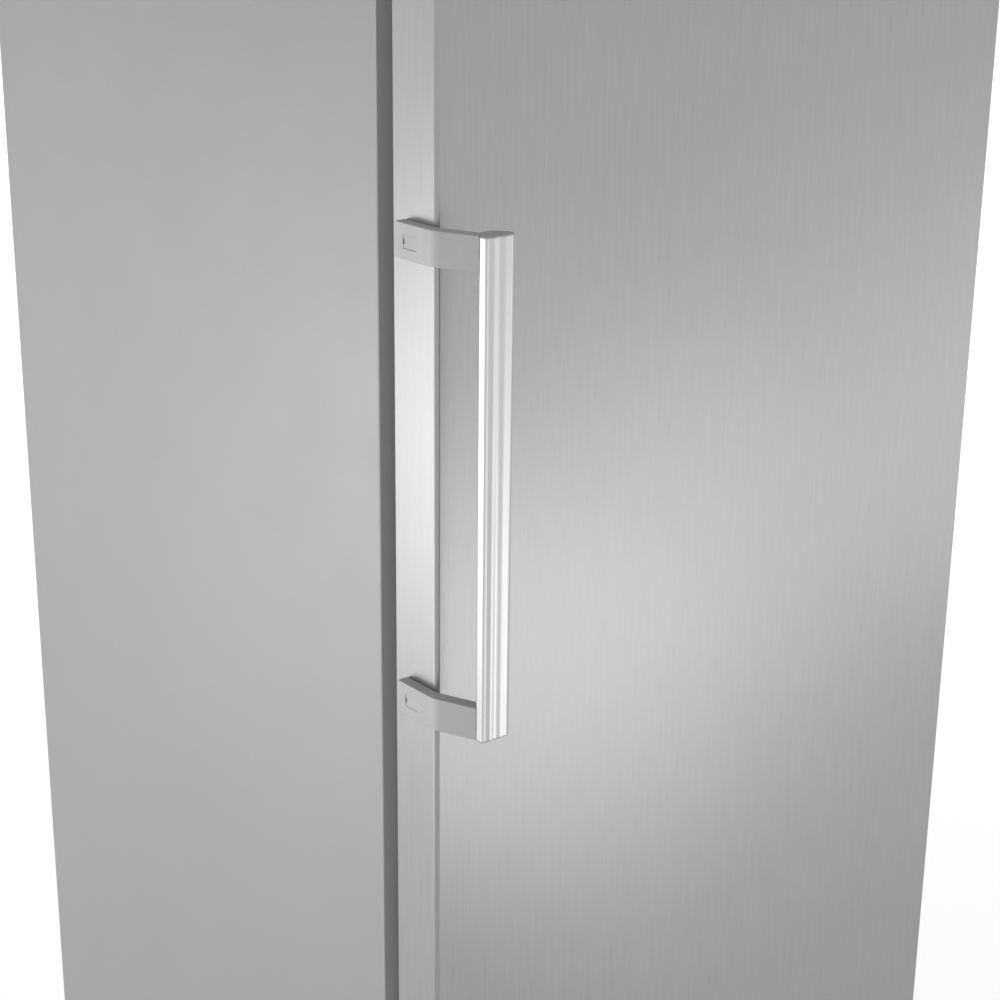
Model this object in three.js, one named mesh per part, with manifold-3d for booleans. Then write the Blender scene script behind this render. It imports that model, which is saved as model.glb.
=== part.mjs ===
// Upright freezer: foamed cabinet, right-hinged door with a bar handle, drawers and a flap.
// Millimetres, +Z up. The front looks towards -Y, and +X is on the right seen from the front.
// Pieces are drawn from the cabinet's middle (x), the door's front face (y) and the floor (z).
import * as THREE from 'three';
import { mergeVertices } from 'three/addons/utils/BufferGeometryUtils.js';
import Module from 'manifold-3d';

const wasm = await Module();
wasm.setup();

// ---------------------------------------------------------------- driving dimensions

// Cabinet
const cabinetWidth = 600;
const bodyDepth = 650; // door front to cabinet back
const cabinetHeight = 1840; // floor to the top plate
const sheet = 1; // steel sheet
const foldRadius = 0.6; // inside radius of a fold in the sheet
const fit = 0.3; // gap between pieces that touch
const past = 1; // how far a cutting shape runs past a face
const bite = 1; // overlap of shapes that are joined
const frontFlange = 38; // side panel's folded front edge, which the gasket meets
const rearFlange = 14;
const topFlange = 45;
const railHeight = 64; // steel rail under the opening
const railReturn = 20;
const baseClearance = 38; // floor to the underside of the base
const baseSheet = 1.5;

// Inside of the cabinet
const sideWall = 80;
const ceilingWall = 80;
const backWall = 75;
const floorWall = 82;
const linerSheet = 1.5;
const linerTuck = 10; // liner hidden behind the steel flange
const stepDepth = 250; // from the cabinet's back to the front of the step
const stepHeight = 220; // step above the cavity's floor

// Machine bay under the step
const bayDepth = 220;
const bayHeight = 230;
const baySheet = 1.2;

// Door
const doorThickness = 50.5;
const doorGap = 19.2; // door back to cabinet front
const doorBottom = 62;
const doorTopGap = 2;
const doorFrontRadius = 4.5;
const doorReturn = 12; // skin folded in at the back
const doorCapHeight = 14;
const dykeInset = 55; // from the door's edges to the raised middle of its liner
const dykeHeight = 11.5;
const dykeCorner = 12;
const gasketInset = 15;
const gasketWidth = 20;
const gasketCorner = 6;
const gasketInnerCorner = 4;

// Hinges
const hingeInset = 14; // pin axis from the door's side
const hingeSetback = 25; // pin axis from the door's front
const pinRadius = 5;
const pinReach = 13;
const lowerPinReach = 11;
const pinClearance = 0.5;
const hingePlate = 4;
const hingeWidth = 49;
const hingeSideInset = 1;
const hingeLanding = 80; // top plate's length on the cabinet
const hingeNose = 12; // plate in front of and beside the pin axis
const collarRadius = 9;
const hingeCoverHeight = 20;
const hingeCoverWall = 2;
const hingeCoverSide = 6; // cover past the plate's left edge
const hingeCoverFront = 5;
const hingeCoverRear = 8;
const hingeCoverCorner = 6;

// Handle, measured from the door's left side face (out) and front face (forward)
const handleCentre = 1040;
const armPitch = 349.8;
const armHeight = 25.7;
const armThickness = 9.4;
const armBack = 35;
const armInnerBend = 1; // inner face leaves the door's side this far in front of the door
const armOuterBend = 5;
const armBendAngle = 22.5;
const armInnerRadius = 4;
const armOuterRadius = 13;
const armSlantLength = 31;
const armEndAngle = 43; // of the cut that meets the grip
const gripRightEnd = 31;
const gripFront = 54;
const gripFrontSlope = 2.5;
const gripEndRadius = 5.2;
const gripOverhang = 1; // grip past the arm's outer corner
const fluteCount = 3;
const fluteDepth = 0.5;
const fluteSteps = 18;
const capBack = 10; // screw cover's near edge behind the door's front
const capLength = 15;
const capHeight = 9.5;
const capRise = 8; // cover above the arm's lower edge
const capDepth = 2;
const notchWidth = 1.5;
const notchHeight = 4;

// Shelves, drawers and flap
const shelfCount = 5;
const shelfThickness = 5;
const shelfSideGap = 1.5;
const shelfSetback = 18;
const shelfRearGap = 7;
const shelfCorner = 6;
const ledgeWidth = 8;
const ledgeHeight = 8;
const topCompartment = 250;
const drawerSetback = 15.3;
const drawerSideGap = 8;
const drawerRearGap = 12;
const drawerHeadroom = 32;
const lowDrawerHeadroom = 30;
const drawerWall = 2.5;
const drawerSideDrop = 18; // drawer's sides and back below its front
const drawerGripWidth = 150;
const drawerGripDepth = 12;
const drawerGripHeight = 14;
const flapThickness = 4;
const flapAxisDrop = 10; // below the control housing
const flapPinRadius = 3;
const flapFootGap = 4;
const flapLip = 8;
const flapSideGap = 2;
const flapPinSetback = 1;

// Controls
const controlSideGap = 8;
const controlHeight = 52;
const controlDepth = 70;
const controlSetback = 10.3;
const lugThickness = 6;
const lugDepth = 18;
const displayWidth = 80;
const displayHeight = 24;
const displayDepth = 2;
const buttonCount = 3;
const buttonWidth = 16;
const buttonHeight = 8;
const buttonPitch = 26;
const buttonOffset = 75; // first button from the middle
const buttonDepth = 7;
const buttonProud = 1.2;
const buttonTravel = 1;
const buttonGap = 0.4;
const lightWidth = 120;
const lightDepth = 30;
const lightHeight = 7.7;
const lightGap = 5;
const lightCorner = 6;

// Cooling
const ductDepth = 61; // air duct behind its cover
const ductSheet = 2.5;
const fanDrop = 140; // fan's axis below the ceiling
const fanHoleRadius = 58;
const fanTipGap = 6;
const fanHubRadius = 18;
const fanHubDepth = 20;
const fanBladeCount = 7;
const fanBladeChord = 24;
const fanBladePitch = 32; // degrees
const fanBladeSheet = 2;
const fanBladeRoot = 3; // blade inside the hub
const fanSetback = 6; // rotor behind the duct cover
const fanShaftRadius = 3;
const motorRadius = 28;
const motorDepth = 26;
const motorPlate = 3;
const motorPlateReach = 62;
const motorPlateHeight = 28;
const ventCount = 5;
const ventLength = 130;
const ventHeight = 7;
const ventCorner = 3;
const evaporatorSideGap = 30;
const evaporatorHeight = 180;
const evaporatorRise = 45; // above the step
const evaporatorDepth = 46;
const evaporatorBackGap = 6;
const evaporatorSpine = 6;
const evaporatorEarInset = 38;
const evaporatorEarWidth = 19;
const finPitch = 12;
const finSheet = 1.2;
const heaterRadius = 4;
const heaterSpacing = 24;
const heaterEndGap = 38;
const compressorRadius = 68;
const compressorHeight = 135;
const compressorInset = 120; // axis from the machine bay's side
const compressorDome = 40.5;
const compressorBaseInset = 10;
const compressorShoulderInset = 7;
const compressorCrownInset = 26;
const compressorPlateMargin = 8;
const compressorFootInset = 14;
const compressorFootRadius = 11;
const compressorFoot = 16;
const compressorPlate = 3;
const trayWidth = 150;
const trayDepth = 110;
const trayHeight = 26;
const trayWall = 2;
const trayCorner = 8;
const condenserInset = 95; // middle from the machine bay's side
const condenserWidth = 120;
const condenserPasses = 6;
const condenserPitch = 24;
const condenserTube = 3.5;
const condenserPlate = 2;
const condenserDepth = 40;
const condenserPlateInset = 10;
const condenserPlateMargin = 14.4; // above the last pass
const condenserBendThickness = 6.3;
const inletWidth = 34;
const inletHeight = 28;
const inletDepth = 32;
const inletWall = 4;
const inletHollow = 18;
const inletInset = 210; // middle from the machine bay's side
const inletCorner = 3;
const inletPinWidth = 2;
const inletPinHeight = 4;
const inletPinPitch = 7;
const inletPinRise = 13;
const inletEarthRise = 6; // middle pin above the others
const inletPinSetback = 4;

// Standing
const footInset = 45;
const footSetback = 40;
const footPadRadius = 20;
const footPadHeight = 10;
const footStemRadius = 6;
const footBossRadius = 12;
const footBossHeight = 18;
const footCollarRadius = 10;
const footChamfer = 2;
const rollerRadius = 17;
const rollerWidth = 20;
const rollerSetback = 50;
const axleRadius = 4;
const axleClearance = 0.4;
const rollerCheek = 2;
const rollerSideGap = 1;
const cheekLand = 3; // under the axle
const plinthHeight = 44;
const plinthRise = 14;
const plinthSideGap = 2;
const plinthThickness = 7;
const plinthSlots = 9;
const plinthSlotHeight = 20;
const plinthSlotCorner = 4;
const plinthBar = 17;

// ---------------------------------------------------------------- derived places

const half = cabinetWidth / 2;
const cabinetFront = doorThickness + doorGap;
const outerFold = foldRadius + sheet;
const baseTop = baseClearance + baseSheet;
const cavityHalf = half - sideWall;
const cavityFloor = baseClearance + floorWall;
const cavityTop = cabinetHeight - ceilingWall;
const cavityBack = bodyDepth - backWall;
const stepFront = bodyDepth - stepDepth;
const stepTop = cavityFloor + stepHeight;
const bayFront = bodyDepth - bayDepth;
const bayTop = baseTop + bayHeight;
const linerHalf = cavityHalf + linerSheet;
const lipFront = cabinetFront + sheet + fit;
const foamFront = lipFront + linerSheet + fit;
const foamBack = bodyDepth - sheet - fit;
const foamTop = cabinetHeight - sheet - fit;
const doorTop = cabinetHeight - doorTopGap;
const skinBottom = doorBottom + doorCapHeight + fit;
const skinTop = doorTop - doorCapHeight - fit;
const hingeX = half - hingeInset;
const hingePlateX = [half - hingeSideInset - hingeWidth, half - hingeSideInset];
const hingePlateFront = hingeSetback - hingeNose;
const gasketBack = cabinetFront - fit;
const railBottom = baseTop + fit;
const railTop = railBottom + railHeight;
const armInner = half + fit;
const armOuter = armInner + armThickness;
const armBottoms = [1, -1].map((end) => handleCentre + (end * armPitch - armHeight) / 2);
const gripBottom = armBottoms[1];
const gripTop = armBottoms[0] + armHeight;
const ductCoverBack = cavityBack - ductDepth;
const ductCoverFront = ductCoverBack - ductSheet;
const fanHeight = cavityTop - fanDrop;
const evaporatorHalf = cavityHalf - evaporatorSideGap;
const compressorX = cavityHalf - compressorInset;
const condenserX = condenserInset - cavityHalf;
const inletX = cavityHalf - inletInset;
const shelfHalf = cavityHalf - shelfSideGap;
const shelfFront = cabinetFront + shelfSetback;
const shelfBack = ductCoverFront - shelfRearGap;
const lowShelfTop = stepTop + fit + shelfThickness;
const shelfPitch = (cavityTop - topCompartment - lowShelfTop) / (shelfCount - 1);
const shelfTops = Array.from({ length: shelfCount }, (_, i) => cavityTop - topCompartment - i * shelfPitch);
const controlFront = cabinetFront + controlSetback;
const controlBottom = cavityTop - fit - controlHeight;
const flapAxisZ = controlBottom - flapAxisDrop;
const flapAxisY = controlFront + lugDepth / 2;
const controlHalf = cavityHalf - controlSideGap;
const lugInner = controlHalf - lugThickness;

// ---------------------------------------------------------------- drawing helpers

const at = (x, y) => new THREE.Vector2(x, y);

function arc(cx, cy, radius, fromDegrees, toDegrees, steps = 4) {
  return Array.from({ length: steps + 1 }, (_, i) => {
    const angle = THREE.MathUtils.degToRad(THREE.MathUtils.lerp(fromDegrees, toDegrees, i / steps));
    return at(cx + radius * Math.cos(angle), cy + radius * Math.sin(angle));
  });
}

const circle = (cx, cy, radius, sides = 24) => arc(cx, cy, radius, 0, 360 - 360 / sides, sides - 1);

function roundedRectangle([x0, x1], [y0, y1], radius, steps = 3) {
  return [
    ...arc(x1 - radius, y0 + radius, radius, -90, 0, steps),
    ...arc(x1 - radius, y1 - radius, radius, 0, 90, steps),
    ...arc(x0 + radius, y1 - radius, radius, 90, 180, steps),
    ...arc(x0 + radius, y0 + radius, radius, 180, 270, steps),
  ];
}

const shrink = ([low, high], margin) => [low + margin, high - margin];
const around = (middle, width) => [middle - width / 2, middle + width / 2];
const rectangle = ([x0, x1], [y0, y1]) => [at(x0, y0), at(x1, y0), at(x1, y1), at(x0, y1)];

const X = new THREE.Vector3(1, 0, 0);
const Y = new THREE.Vector3(0, 1, 0);
const Z = new THREE.Vector3(0, 0, 1);

function extrude(outline, length, holes = []) {
  const shape = new THREE.Shape(outline);
  shape.holes = holes.map((hole) => new THREE.Path(hole));
  return new THREE.ExtrudeGeometry(shape, { depth: length, bevelEnabled: false });
}

// Outline in plan (x, y), standing from z0 to z1.
const upright = (outline, [z0, z1], holes) => extrude(outline, z1 - z0, holes).translate(0, 0, z0);

// Outline seen from the front (x, z), running from y0 to y1.
function facing(outline, [y0, y1], holes) {
  const turn = new THREE.Matrix4().makeBasis(X, Z, Y.clone().negate());
  return extrude(outline, y1 - y0, holes).applyMatrix4(turn).translate(0, y1, 0);
}

// Outline seen from the side (y, z), running from x0 to x1.
function sideways(outline, [x0, x1], holes) {
  const turn = new THREE.Matrix4().makeBasis(Y, Z, X);
  return extrude(outline, x1 - x0, holes).applyMatrix4(turn).translate(x0, 0, 0);
}

function block([x0, x1], [y0, y1], [z0, z1]) {
  const geometry = new THREE.BoxGeometry(x1 - x0, y1 - y0, z1 - z0);
  return geometry.translate((x0 + x1) / 2, (y0 + y1) / 2, (z0 + z1) / 2);
}

// Profile of [radius, height] pairs from the axis back to it, turned about z.
function turned(profile, [x, y], segments = 24) {
  const points = profile.map(([radius, height]) => at(radius, height));
  return new THREE.LatheGeometry(points, segments).rotateX(Math.PI / 2).translate(x, y, 0);
}

function toSolid(geometry) {
  const bare = geometry.clone();
  bare.deleteAttribute('normal');
  bare.deleteAttribute('uv');
  const merged = mergeVertices(bare);
  return new wasm.Manifold(new wasm.Mesh({
    numProp: 3,
    vertProperties: new Float32Array(merged.attributes.position.array),
    triVerts: new Uint32Array(merged.index.array),
  }));
}

function toGeometry(solid) {
  const mesh = solid.getMesh();
  const geometry = new THREE.BufferGeometry();
  geometry.setAttribute('position', new THREE.BufferAttribute(mesh.vertProperties, 3));
  geometry.setIndex(new THREE.BufferAttribute(mesh.triVerts, 1));
  geometry.computeVertexNormals();
  return geometry;
}

const join = (first, ...rest) =>
  toGeometry(rest.reduce((solid, geometry) => solid.add(toSolid(geometry)), toSolid(first)));
const cut = (first, ...rest) =>
  toGeometry(rest.reduce((solid, geometry) => solid.subtract(toSolid(geometry)), toSolid(first)));

// ---------------------------------------------------------------- materials and assembly

const finish = (color, roughness, metalness, opacity = 1) =>
  new THREE.MeshStandardMaterial({ color, roughness, metalness, opacity, transparent: opacity < 1 });

const materials = {
  sidePaint: finish(0xb9babb, 0.38, 0.6),
  brushedSteel: finish(0xb4b4b3, 0.32, 1),
  armPaint: finish(0xa9aaab, 0.4, 0.5),
  gripMetal: finish(0xd6d7d8, 0.25, 1),
  zincSteel: finish(0xa7a9aa, 0.45, 0.9),
  blackPaint: finish(0x1d1e20, 0.45, 0.2),
  copper: finish(0xb87b5a, 0.35, 1),
  aluminium: finish(0xc3c5c7, 0.4, 1),
  linerPlastic: finish(0xf0f1f1, 0.4, 0),
  greyPlastic: finish(0x8d8f92, 0.5, 0),
  darkPlastic: finish(0x2b2c2e, 0.4, 0),
  gasketRubber: finish(0x77797b, 0.75, 0),
  foam: finish(0xe6d9a8, 0.9, 0),
  clearPlastic: finish(0xdfe8ee, 0.1, 0, 0.45),
  glass: finish(0xd8e6e2, 0.05, 0, 0.4),
  lightPlastic: finish(0xf6f6f2, 0.3, 0),
};

const freezer = new THREE.Group();

function add(name, geometry, material, parent = freezer) {
  const mesh = new THREE.Mesh(geometry, material);
  mesh.name = name;
  parent.add(mesh);
}

const sides = [['left', -1], ['right', 1]];
const mirrored = (outline, side) => outline.map((point) => at(side * point.x, point.y));
const span = (side, near, far) => (side > 0 ? [near, far] : [-far, -near]);

// ---------------------------------------------------------------- cabinet shell

function sidePanel(side) {
  const r = outerFold;
  const outline = [
    at(half - frontFlange, cabinetFront),
    ...arc(half - r, cabinetFront + r, r, -90, 0),
    ...arc(half - r, bodyDepth - r, r, 0, 90),
    at(half - rearFlange, bodyDepth),
    at(half - rearFlange, bodyDepth - sheet),
    ...arc(half - r, bodyDepth - r, foldRadius, 90, 0),
    ...arc(half - r, cabinetFront + r, foldRadius, 0, -90),
    at(half - frontFlange, cabinetFront + sheet),
  ];
  return upright(mirrored(outline, side), [baseClearance, cabinetHeight - sheet - fit]);
}

function topPanel() {
  const plate = block([-half, half], [cabinetFront, bodyDepth], [cabinetHeight - sheet, cabinetHeight]);
  const reach = half - frontFlange - fit;
  const drop = [cabinetHeight - topFlange, cabinetHeight - sheet / 2];
  return join(plate, block([-reach, reach], [cabinetFront, cabinetFront + sheet], drop));
}

function backPanel() {
  const reach = half - rearFlange - fit;
  const z = [bayTop + fit, cabinetHeight - sheet - fit];
  return block([-reach, reach], [bodyDepth - sheet, bodyDepth], z);
}

function frontRail() {
  const reach = half - frontFlange - fit;
  const face = block([-reach, reach], [cabinetFront, cabinetFront + sheet], [railBottom, railTop]);
  const foot = [cabinetFront + sheet / 2, cabinetFront + railReturn];
  return join(face, block([-linerHalf, linerHalf], foot, [railBottom, railBottom + sheet]));
}

const footPlaces = sides.map(([, side]) => [side * (half - footInset), cabinetFront + footSetback]);
const rollerPlaces = sides.map(([, side]) => [side * (half - footInset), bodyDepth - rollerSetback]);
const cheekGap = rollerWidth / 2 + rollerSideGap;

function baseFrame() {
  const reach = half - sheet - fit;
  const plate = block([-reach, reach], [lipFront, foamBack], [baseClearance, baseTop]);
  const bosses = footPlaces.map(([x, y]) => {
    const outline = circle(x, y, footBossRadius);
    const hole = circle(x, y, footStemRadius + pinClearance);
    return upright(outline, [baseClearance - footBossHeight, baseClearance + baseSheet / 2], [hole]);
  });
  const cheeks = rollerPlaces.flatMap(([x, y]) => [-1, 1].map((side) => {
    const reachZ = [rollerRadius - axleRadius - cheekLand, baseClearance + baseSheet / 2];
    const outline = rectangle(around(y, 2 * rollerRadius), reachZ);
    const hole = circle(y, rollerRadius, axleRadius + axleClearance, 16);
    const [near, far] = span(side, cheekGap, cheekGap + rollerCheek);
    return sideways(outline, [x + near, x + far], [hole]);
  }));
  return join(plate, ...bosses, ...cheeks);
}

function machineBay() {
  const reach = cavityHalf;
  const low = baseTop + fit;
  const outside = block([-reach, reach], [bayFront, bodyDepth], [low, bayTop]);
  const inside = block([baySheet - reach, reach - baySheet], [bayFront + baySheet, bodyDepth + past],
    [low - past, bayTop - baySheet]);
  const wings = sides.map(([, side]) => block(
    span(side, reach - baySheet / 2, half - rearFlange - fit),
    [bodyDepth - sheet, bodyDepth],
    [low, bayTop]));
  return join(cut(outside, inside), ...wings);
}

function plinthGrille() {
  const left = plinthSideGap - half;
  const right = hingePlateX[0] - fit;
  const y = [cabinetFront - fit - plinthThickness, cabinetFront - fit];
  const outline = rectangle([left, right], [plinthRise, plinthRise + plinthHeight]);
  const pitch = (right - left) / plinthSlots;
  const reach = (pitch - plinthBar) / 2;
  const slotMiddle = plinthRise + plinthHeight / 2;
  const slots = Array.from({ length: plinthSlots }, (_, i) => {
    const x = left + (i + 0.5) * pitch;
    return roundedRectangle([x - reach, x + reach], around(slotMiddle, plinthSlotHeight), plinthSlotCorner);
  });
  return facing(outline, y, slots);
}

sides.forEach(([word, side]) => add(`side_panel_${word}`, sidePanel(side), materials.sidePaint));
add('top_panel', topPanel(), materials.sidePaint);
add('back_panel', backPanel(), materials.zincSteel);
add('front_rail_bottom', frontRail(), materials.sidePaint);
add('base_frame', baseFrame(), materials.zincSteel);
add('machine_bay', machineBay(), materials.zincSteel);
add('plinth_grille', plinthGrille(), materials.greyPlastic);

// ---------------------------------------------------------------- liner and foam

// The cavity's outline from the side, grown by a margin.
function cavityOutline(margin, front) {
  return [
    at(front, cavityFloor - margin),
    at(stepFront + margin, cavityFloor - margin),
    at(stepFront + margin, stepTop - margin),
    at(cavityBack + margin, stepTop - margin),
    at(cavityBack + margin, cavityTop + margin),
    at(front, cavityTop + margin),
  ];
}

function innerLiner() {
  const shell = sideways(cavityOutline(linerSheet, lipFront), [-linerHalf, linerHalf]);
  const hollow = sideways(cavityOutline(0, lipFront - past), [-cavityHalf, cavityHalf]);
  const lipReach = half - frontFlange + linerTuck;
  const lipHeight = [railTop - linerTuck, cabinetHeight - topFlange + linerTuck];
  const lip = block([-lipReach, lipReach], [lipFront, lipFront + linerSheet], lipHeight);
  const ledges = shelfTops.flatMap((top) => sides.map(([, side]) => {
    const under = top - shelfThickness - fit;
    const across = span(side, cavityHalf - ledgeWidth, cavityHalf + linerSheet / 2);
    return block(across, [shelfFront, stepFront - fit], [under - ledgeHeight, under]);
  }));
  return join(cut(join(shell, lip), hollow), ...ledges);
}

const foamHalf = half - sheet - fit;
const cavityFoam = linerSheet + fit;
const foamBlocks = {
  top: [[-linerHalf, linerHalf], [foamFront, foamBack], [cavityTop + cavityFoam, foamTop]],
  back: [[-linerHalf, linerHalf], [cavityBack + cavityFoam, foamBack],
    [stepTop + fit, cavityTop + linerSheet]],
  bottom: [[-linerHalf, linerHalf], [foamFront, bayFront - fit],
    [railBottom + sheet + fit, cavityFloor - cavityFoam]],
  riser: [[-linerHalf, linerHalf], [stepFront + cavityFoam, bayFront - fit],
    [cavityFloor - linerSheet, stepTop - cavityFoam]],
  step: [[-linerHalf, linerHalf], [bayFront, foamBack], [bayTop + fit, stepTop - cavityFoam]],
};

add('inner_liner', innerLiner(), materials.linerPlastic);
sides.forEach(([word, side]) => {
  const across = span(side, linerHalf + fit, foamHalf);
  add(`foam_${word}`, block(across, [foamFront, foamBack], [baseTop + fit, foamTop]), materials.foam);
});
Object.entries(foamBlocks).forEach(([word, limits]) => {
  add(`foam_${word}`, block(...limits), materials.foam);
});

// ---------------------------------------------------------------- cooling

function airDuctCover() {
  const outline = rectangle([fit - cavityHalf, cavityHalf - fit], [stepTop + fit, cavityTop - fit]);
  const vents = Array.from({ length: ventCount }, (_, i) => {
    const z = stepTop + (fanHeight - stepTop) * (i + 0.5) / (ventCount + 0.5);
    return roundedRectangle(around(0, ventLength), around(z, ventHeight), ventCorner);
  });
  return facing(outline, [ductCoverFront, ductCoverBack], [circle(0, fanHeight, fanHoleRadius), ...vents]);
}

const wallBack = cavityBack - fit;
const rotorFront = ductCoverBack + fanSetback;
const motorFront = wallBack - motorDepth;

function fanMotor() {
  const can = facing(circle(0, fanHeight, motorRadius), [motorFront, wallBack]);
  const shaft = facing(circle(0, fanHeight, fanShaftRadius, 12), [rotorFront + past, motorFront + bite]);
  const plate = block([-motorPlateReach, motorPlateReach], [wallBack - motorPlate, wallBack],
    around(fanHeight, motorPlateHeight));
  return join(can, shaft, plate);
}

function fanRotor() {
  const rotorBack = rotorFront + fanHubDepth;
  const hub = facing(circle(0, 0, fanHubRadius), [rotorFront, rotorBack]);
  const blades = Array.from({ length: fanBladeCount }, (_, i) => {
    const root = fanHubRadius - fanBladeRoot;
    const length = fanHoleRadius - fanTipGap - root;
    const blade = new THREE.BoxGeometry(fanBladeChord, fanBladeSheet, length);
    blade.translate(0, 0, root + length / 2);
    blade.rotateZ(THREE.MathUtils.degToRad(fanBladePitch));
    blade.rotateY(i * 2 * Math.PI / fanBladeCount);
    return blade.translate(0, (rotorFront + rotorBack) / 2, 0);
  });
  const boreOutline = circle(0, 0, fanShaftRadius + pinClearance, 12);
  const bore = facing(boreOutline, [rotorFront - past, rotorBack + past]);
  return cut(join(hub, ...blades), bore).translate(0, 0, fanHeight);
}

const evaporatorBottom = stepTop + evaporatorRise;
const evaporatorFront = wallBack - evaporatorBackGap - evaporatorDepth;

function evaporator() {
  const z = [evaporatorBottom, evaporatorBottom + evaporatorHeight];
  const reach = evaporatorHalf;
  const back = evaporatorFront + evaporatorDepth;
  const spine = back - evaporatorSpine;
  const finCount = Math.floor((2 * reach - finSheet) / finPitch) + 1;
  const firstFin = -(finCount - 1) * finPitch / 2;
  const comb = [at(-reach, back), at(-reach, spine)];
  for (let i = 0; i < finCount; i += 1) {
    const x = firstFin + i * finPitch;
    comb.push(at(x - finSheet / 2, spine), at(x - finSheet / 2, evaporatorFront));
    comb.push(at(x + finSheet / 2, evaporatorFront), at(x + finSheet / 2, spine));
  }
  comb.push(at(reach, spine), at(reach, back));
  const earEnd = reach - evaporatorEarInset;
  const ears = sides.map(([, side]) =>
    block(span(side, earEnd - evaporatorEarWidth, earEnd), [back - bite, wallBack], z));
  return join(upright(comb, z), ...ears);
}

class HeaterPath extends THREE.Curve {
  getPoint(t) {
    const straight = 2 * (evaporatorHalf - heaterEndGap);
    const radius = heaterSpacing / 2;
    const bend = Math.PI * radius;
    const along = t * (2 * straight + bend);
    const z = evaporatorBottom - fit - heaterRadius;
    const y = evaporatorFront + evaporatorDepth / 2;
    if (along < straight) return new THREE.Vector3(along - straight / 2, y - radius, z);
    if (along > straight + bend) {
      return new THREE.Vector3(straight / 2 - (along - straight - bend), y + radius, z);
    }
    const angle = (along - straight) / radius - Math.PI / 2;
    return new THREE.Vector3(straight / 2 + radius * Math.cos(angle), y + radius * Math.sin(angle), z);
  }
}

function defrostHeater() {
  const section = new THREE.Shape(circle(0, 0, heaterRadius, 8));
  return new THREE.ExtrudeGeometry(section, { steps: 64, extrudePath: new HeaterPath() });
}

const bayMiddle = (bayFront + bodyDepth) / 2;
const compressorBase = baseTop + fit + compressorFoot;

function compressor() {
  const plateZ = [compressorBase - bite, compressorBase - bite + compressorPlate];
  const reach = compressorRadius + compressorPlateMargin;
  const plate = block(around(compressorX, 2 * reach), around(bayMiddle, 2 * reach), plateZ);
  const low = compressorBase;
  const high = low + compressorHeight;
  const can = turned([
    [0, low],
    [compressorRadius - compressorBaseInset, low],
    [compressorRadius, low + compressorDome / 2],
    [compressorRadius, high - compressorDome],
    [compressorRadius - compressorShoulderInset, high - compressorDome / 2],
    [compressorRadius - compressorCrownInset, high],
    [0, high],
  ], [compressorX, bayMiddle]);
  const footReach = reach - compressorFootInset;
  const feet = [-1, 1].flatMap((sx) => [-1, 1].map((sy) => {
    const [x, y] = [compressorX + sx * footReach, bayMiddle + sy * footReach];
    return upright(circle(x, y, compressorFootRadius, 16), [baseTop + fit, compressorBase]);
  }));
  return join(plate, can, ...feet);
}

const trayBottom = compressorBase + compressorHeight + fit;

function dripTray() {
  const x = around(compressorX, trayWidth);
  const y = around(bayMiddle, trayDepth);
  const outside = upright(roundedRectangle(x, y, trayCorner), [trayBottom, trayBottom + trayHeight]);
  const inside = upright(
    roundedRectangle(shrink(x, trayWall), shrink(y, trayWall), trayCorner - trayWall),
    [trayBottom + trayWall, trayBottom + trayHeight + past]);
  return cut(outside, inside);
}

function condenser() {
  const reach = condenserWidth / 2;
  const low = baseTop + fit;
  const first = low + condenserPitch;
  const plates = [-1, 1].map((side) => {
    const x = condenserX + side * (reach - condenserPlateInset);
    const high = first + (condenserPasses - 1) * condenserPitch + condenserPlateMargin;
    return block(around(x, condenserPlate), around(bayMiddle, condenserDepth), [low, high]);
  });
  const passes = Array.from({ length: condenserPasses }, (_, i) =>
    sideways(circle(bayMiddle, first + i * condenserPitch, condenserTube, 8),
      [condenserX - reach, condenserX + reach]));
  const bends = Array.from({ length: condenserPasses - 1 }, (_, i) => {
    const side = i % 2 ? -1 : 1;
    const z = first + (i + 0.5) * condenserPitch;
    const radius = condenserPitch / 2;
    const outline = [
      ...arc(reach - bite, 0, radius + condenserTube, -90, 90, 8),
      ...arc(reach - bite, 0, radius - condenserTube, 90, -90, 8),
    ];
    const bend = facing(mirrored(outline, side), around(bayMiddle, condenserBendThickness));
    return bend.translate(condenserX, 0, z);
  });
  return join(...plates, ...passes, ...bends);
}

function mainsInlet() {
  const low = baseTop + fit;
  const x = around(inletX, inletWidth);
  const z = [low, low + inletHeight];
  const body = block(x, [foamBack - inletDepth, foamBack], z);
  const mouth = roundedRectangle(shrink(x, inletWall), shrink(z, inletWall), inletCorner);
  const hollow = facing(mouth, [foamBack - inletHollow, foamBack + past]);
  const pins = [-1, 0, 1].map((step) => {
    const pinX = inletX + step * inletPinPitch;
    const pinZ = low + inletPinRise + (step === 0 ? inletEarthRise : 0);
    return block(
      around(pinX, inletPinWidth),
      [foamBack - inletHollow - bite, foamBack - inletPinSetback],
      around(pinZ, inletPinHeight));
  });
  return join(cut(body, hollow), ...pins);
}

add('air_duct_cover', airDuctCover(), materials.linerPlastic);
add('fan_motor', fanMotor(), materials.darkPlastic);
add('fan_rotor', fanRotor(), materials.greyPlastic);
add('evaporator', evaporator(), materials.aluminium);
add('defrost_heater', defrostHeater(), materials.aluminium);
add('compressor', compressor(), materials.blackPaint);
add('drip_tray', dripTray(), materials.darkPlastic);
add('condenser', condenser(), materials.copper);
add('mains_inlet', mainsInlet(), materials.darkPlastic);

// ---------------------------------------------------------------- shelves, drawers and flap

function glassShelf(top) {
  const outline = roundedRectangle([-shelfHalf, shelfHalf], [shelfFront, shelfBack], shelfCorner);
  return upright(outline, [top - shelfThickness, top]);
}

const drawerHalf = cavityHalf - drawerSideGap;
const drawerFront = cabinetFront + drawerSetback;

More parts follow.
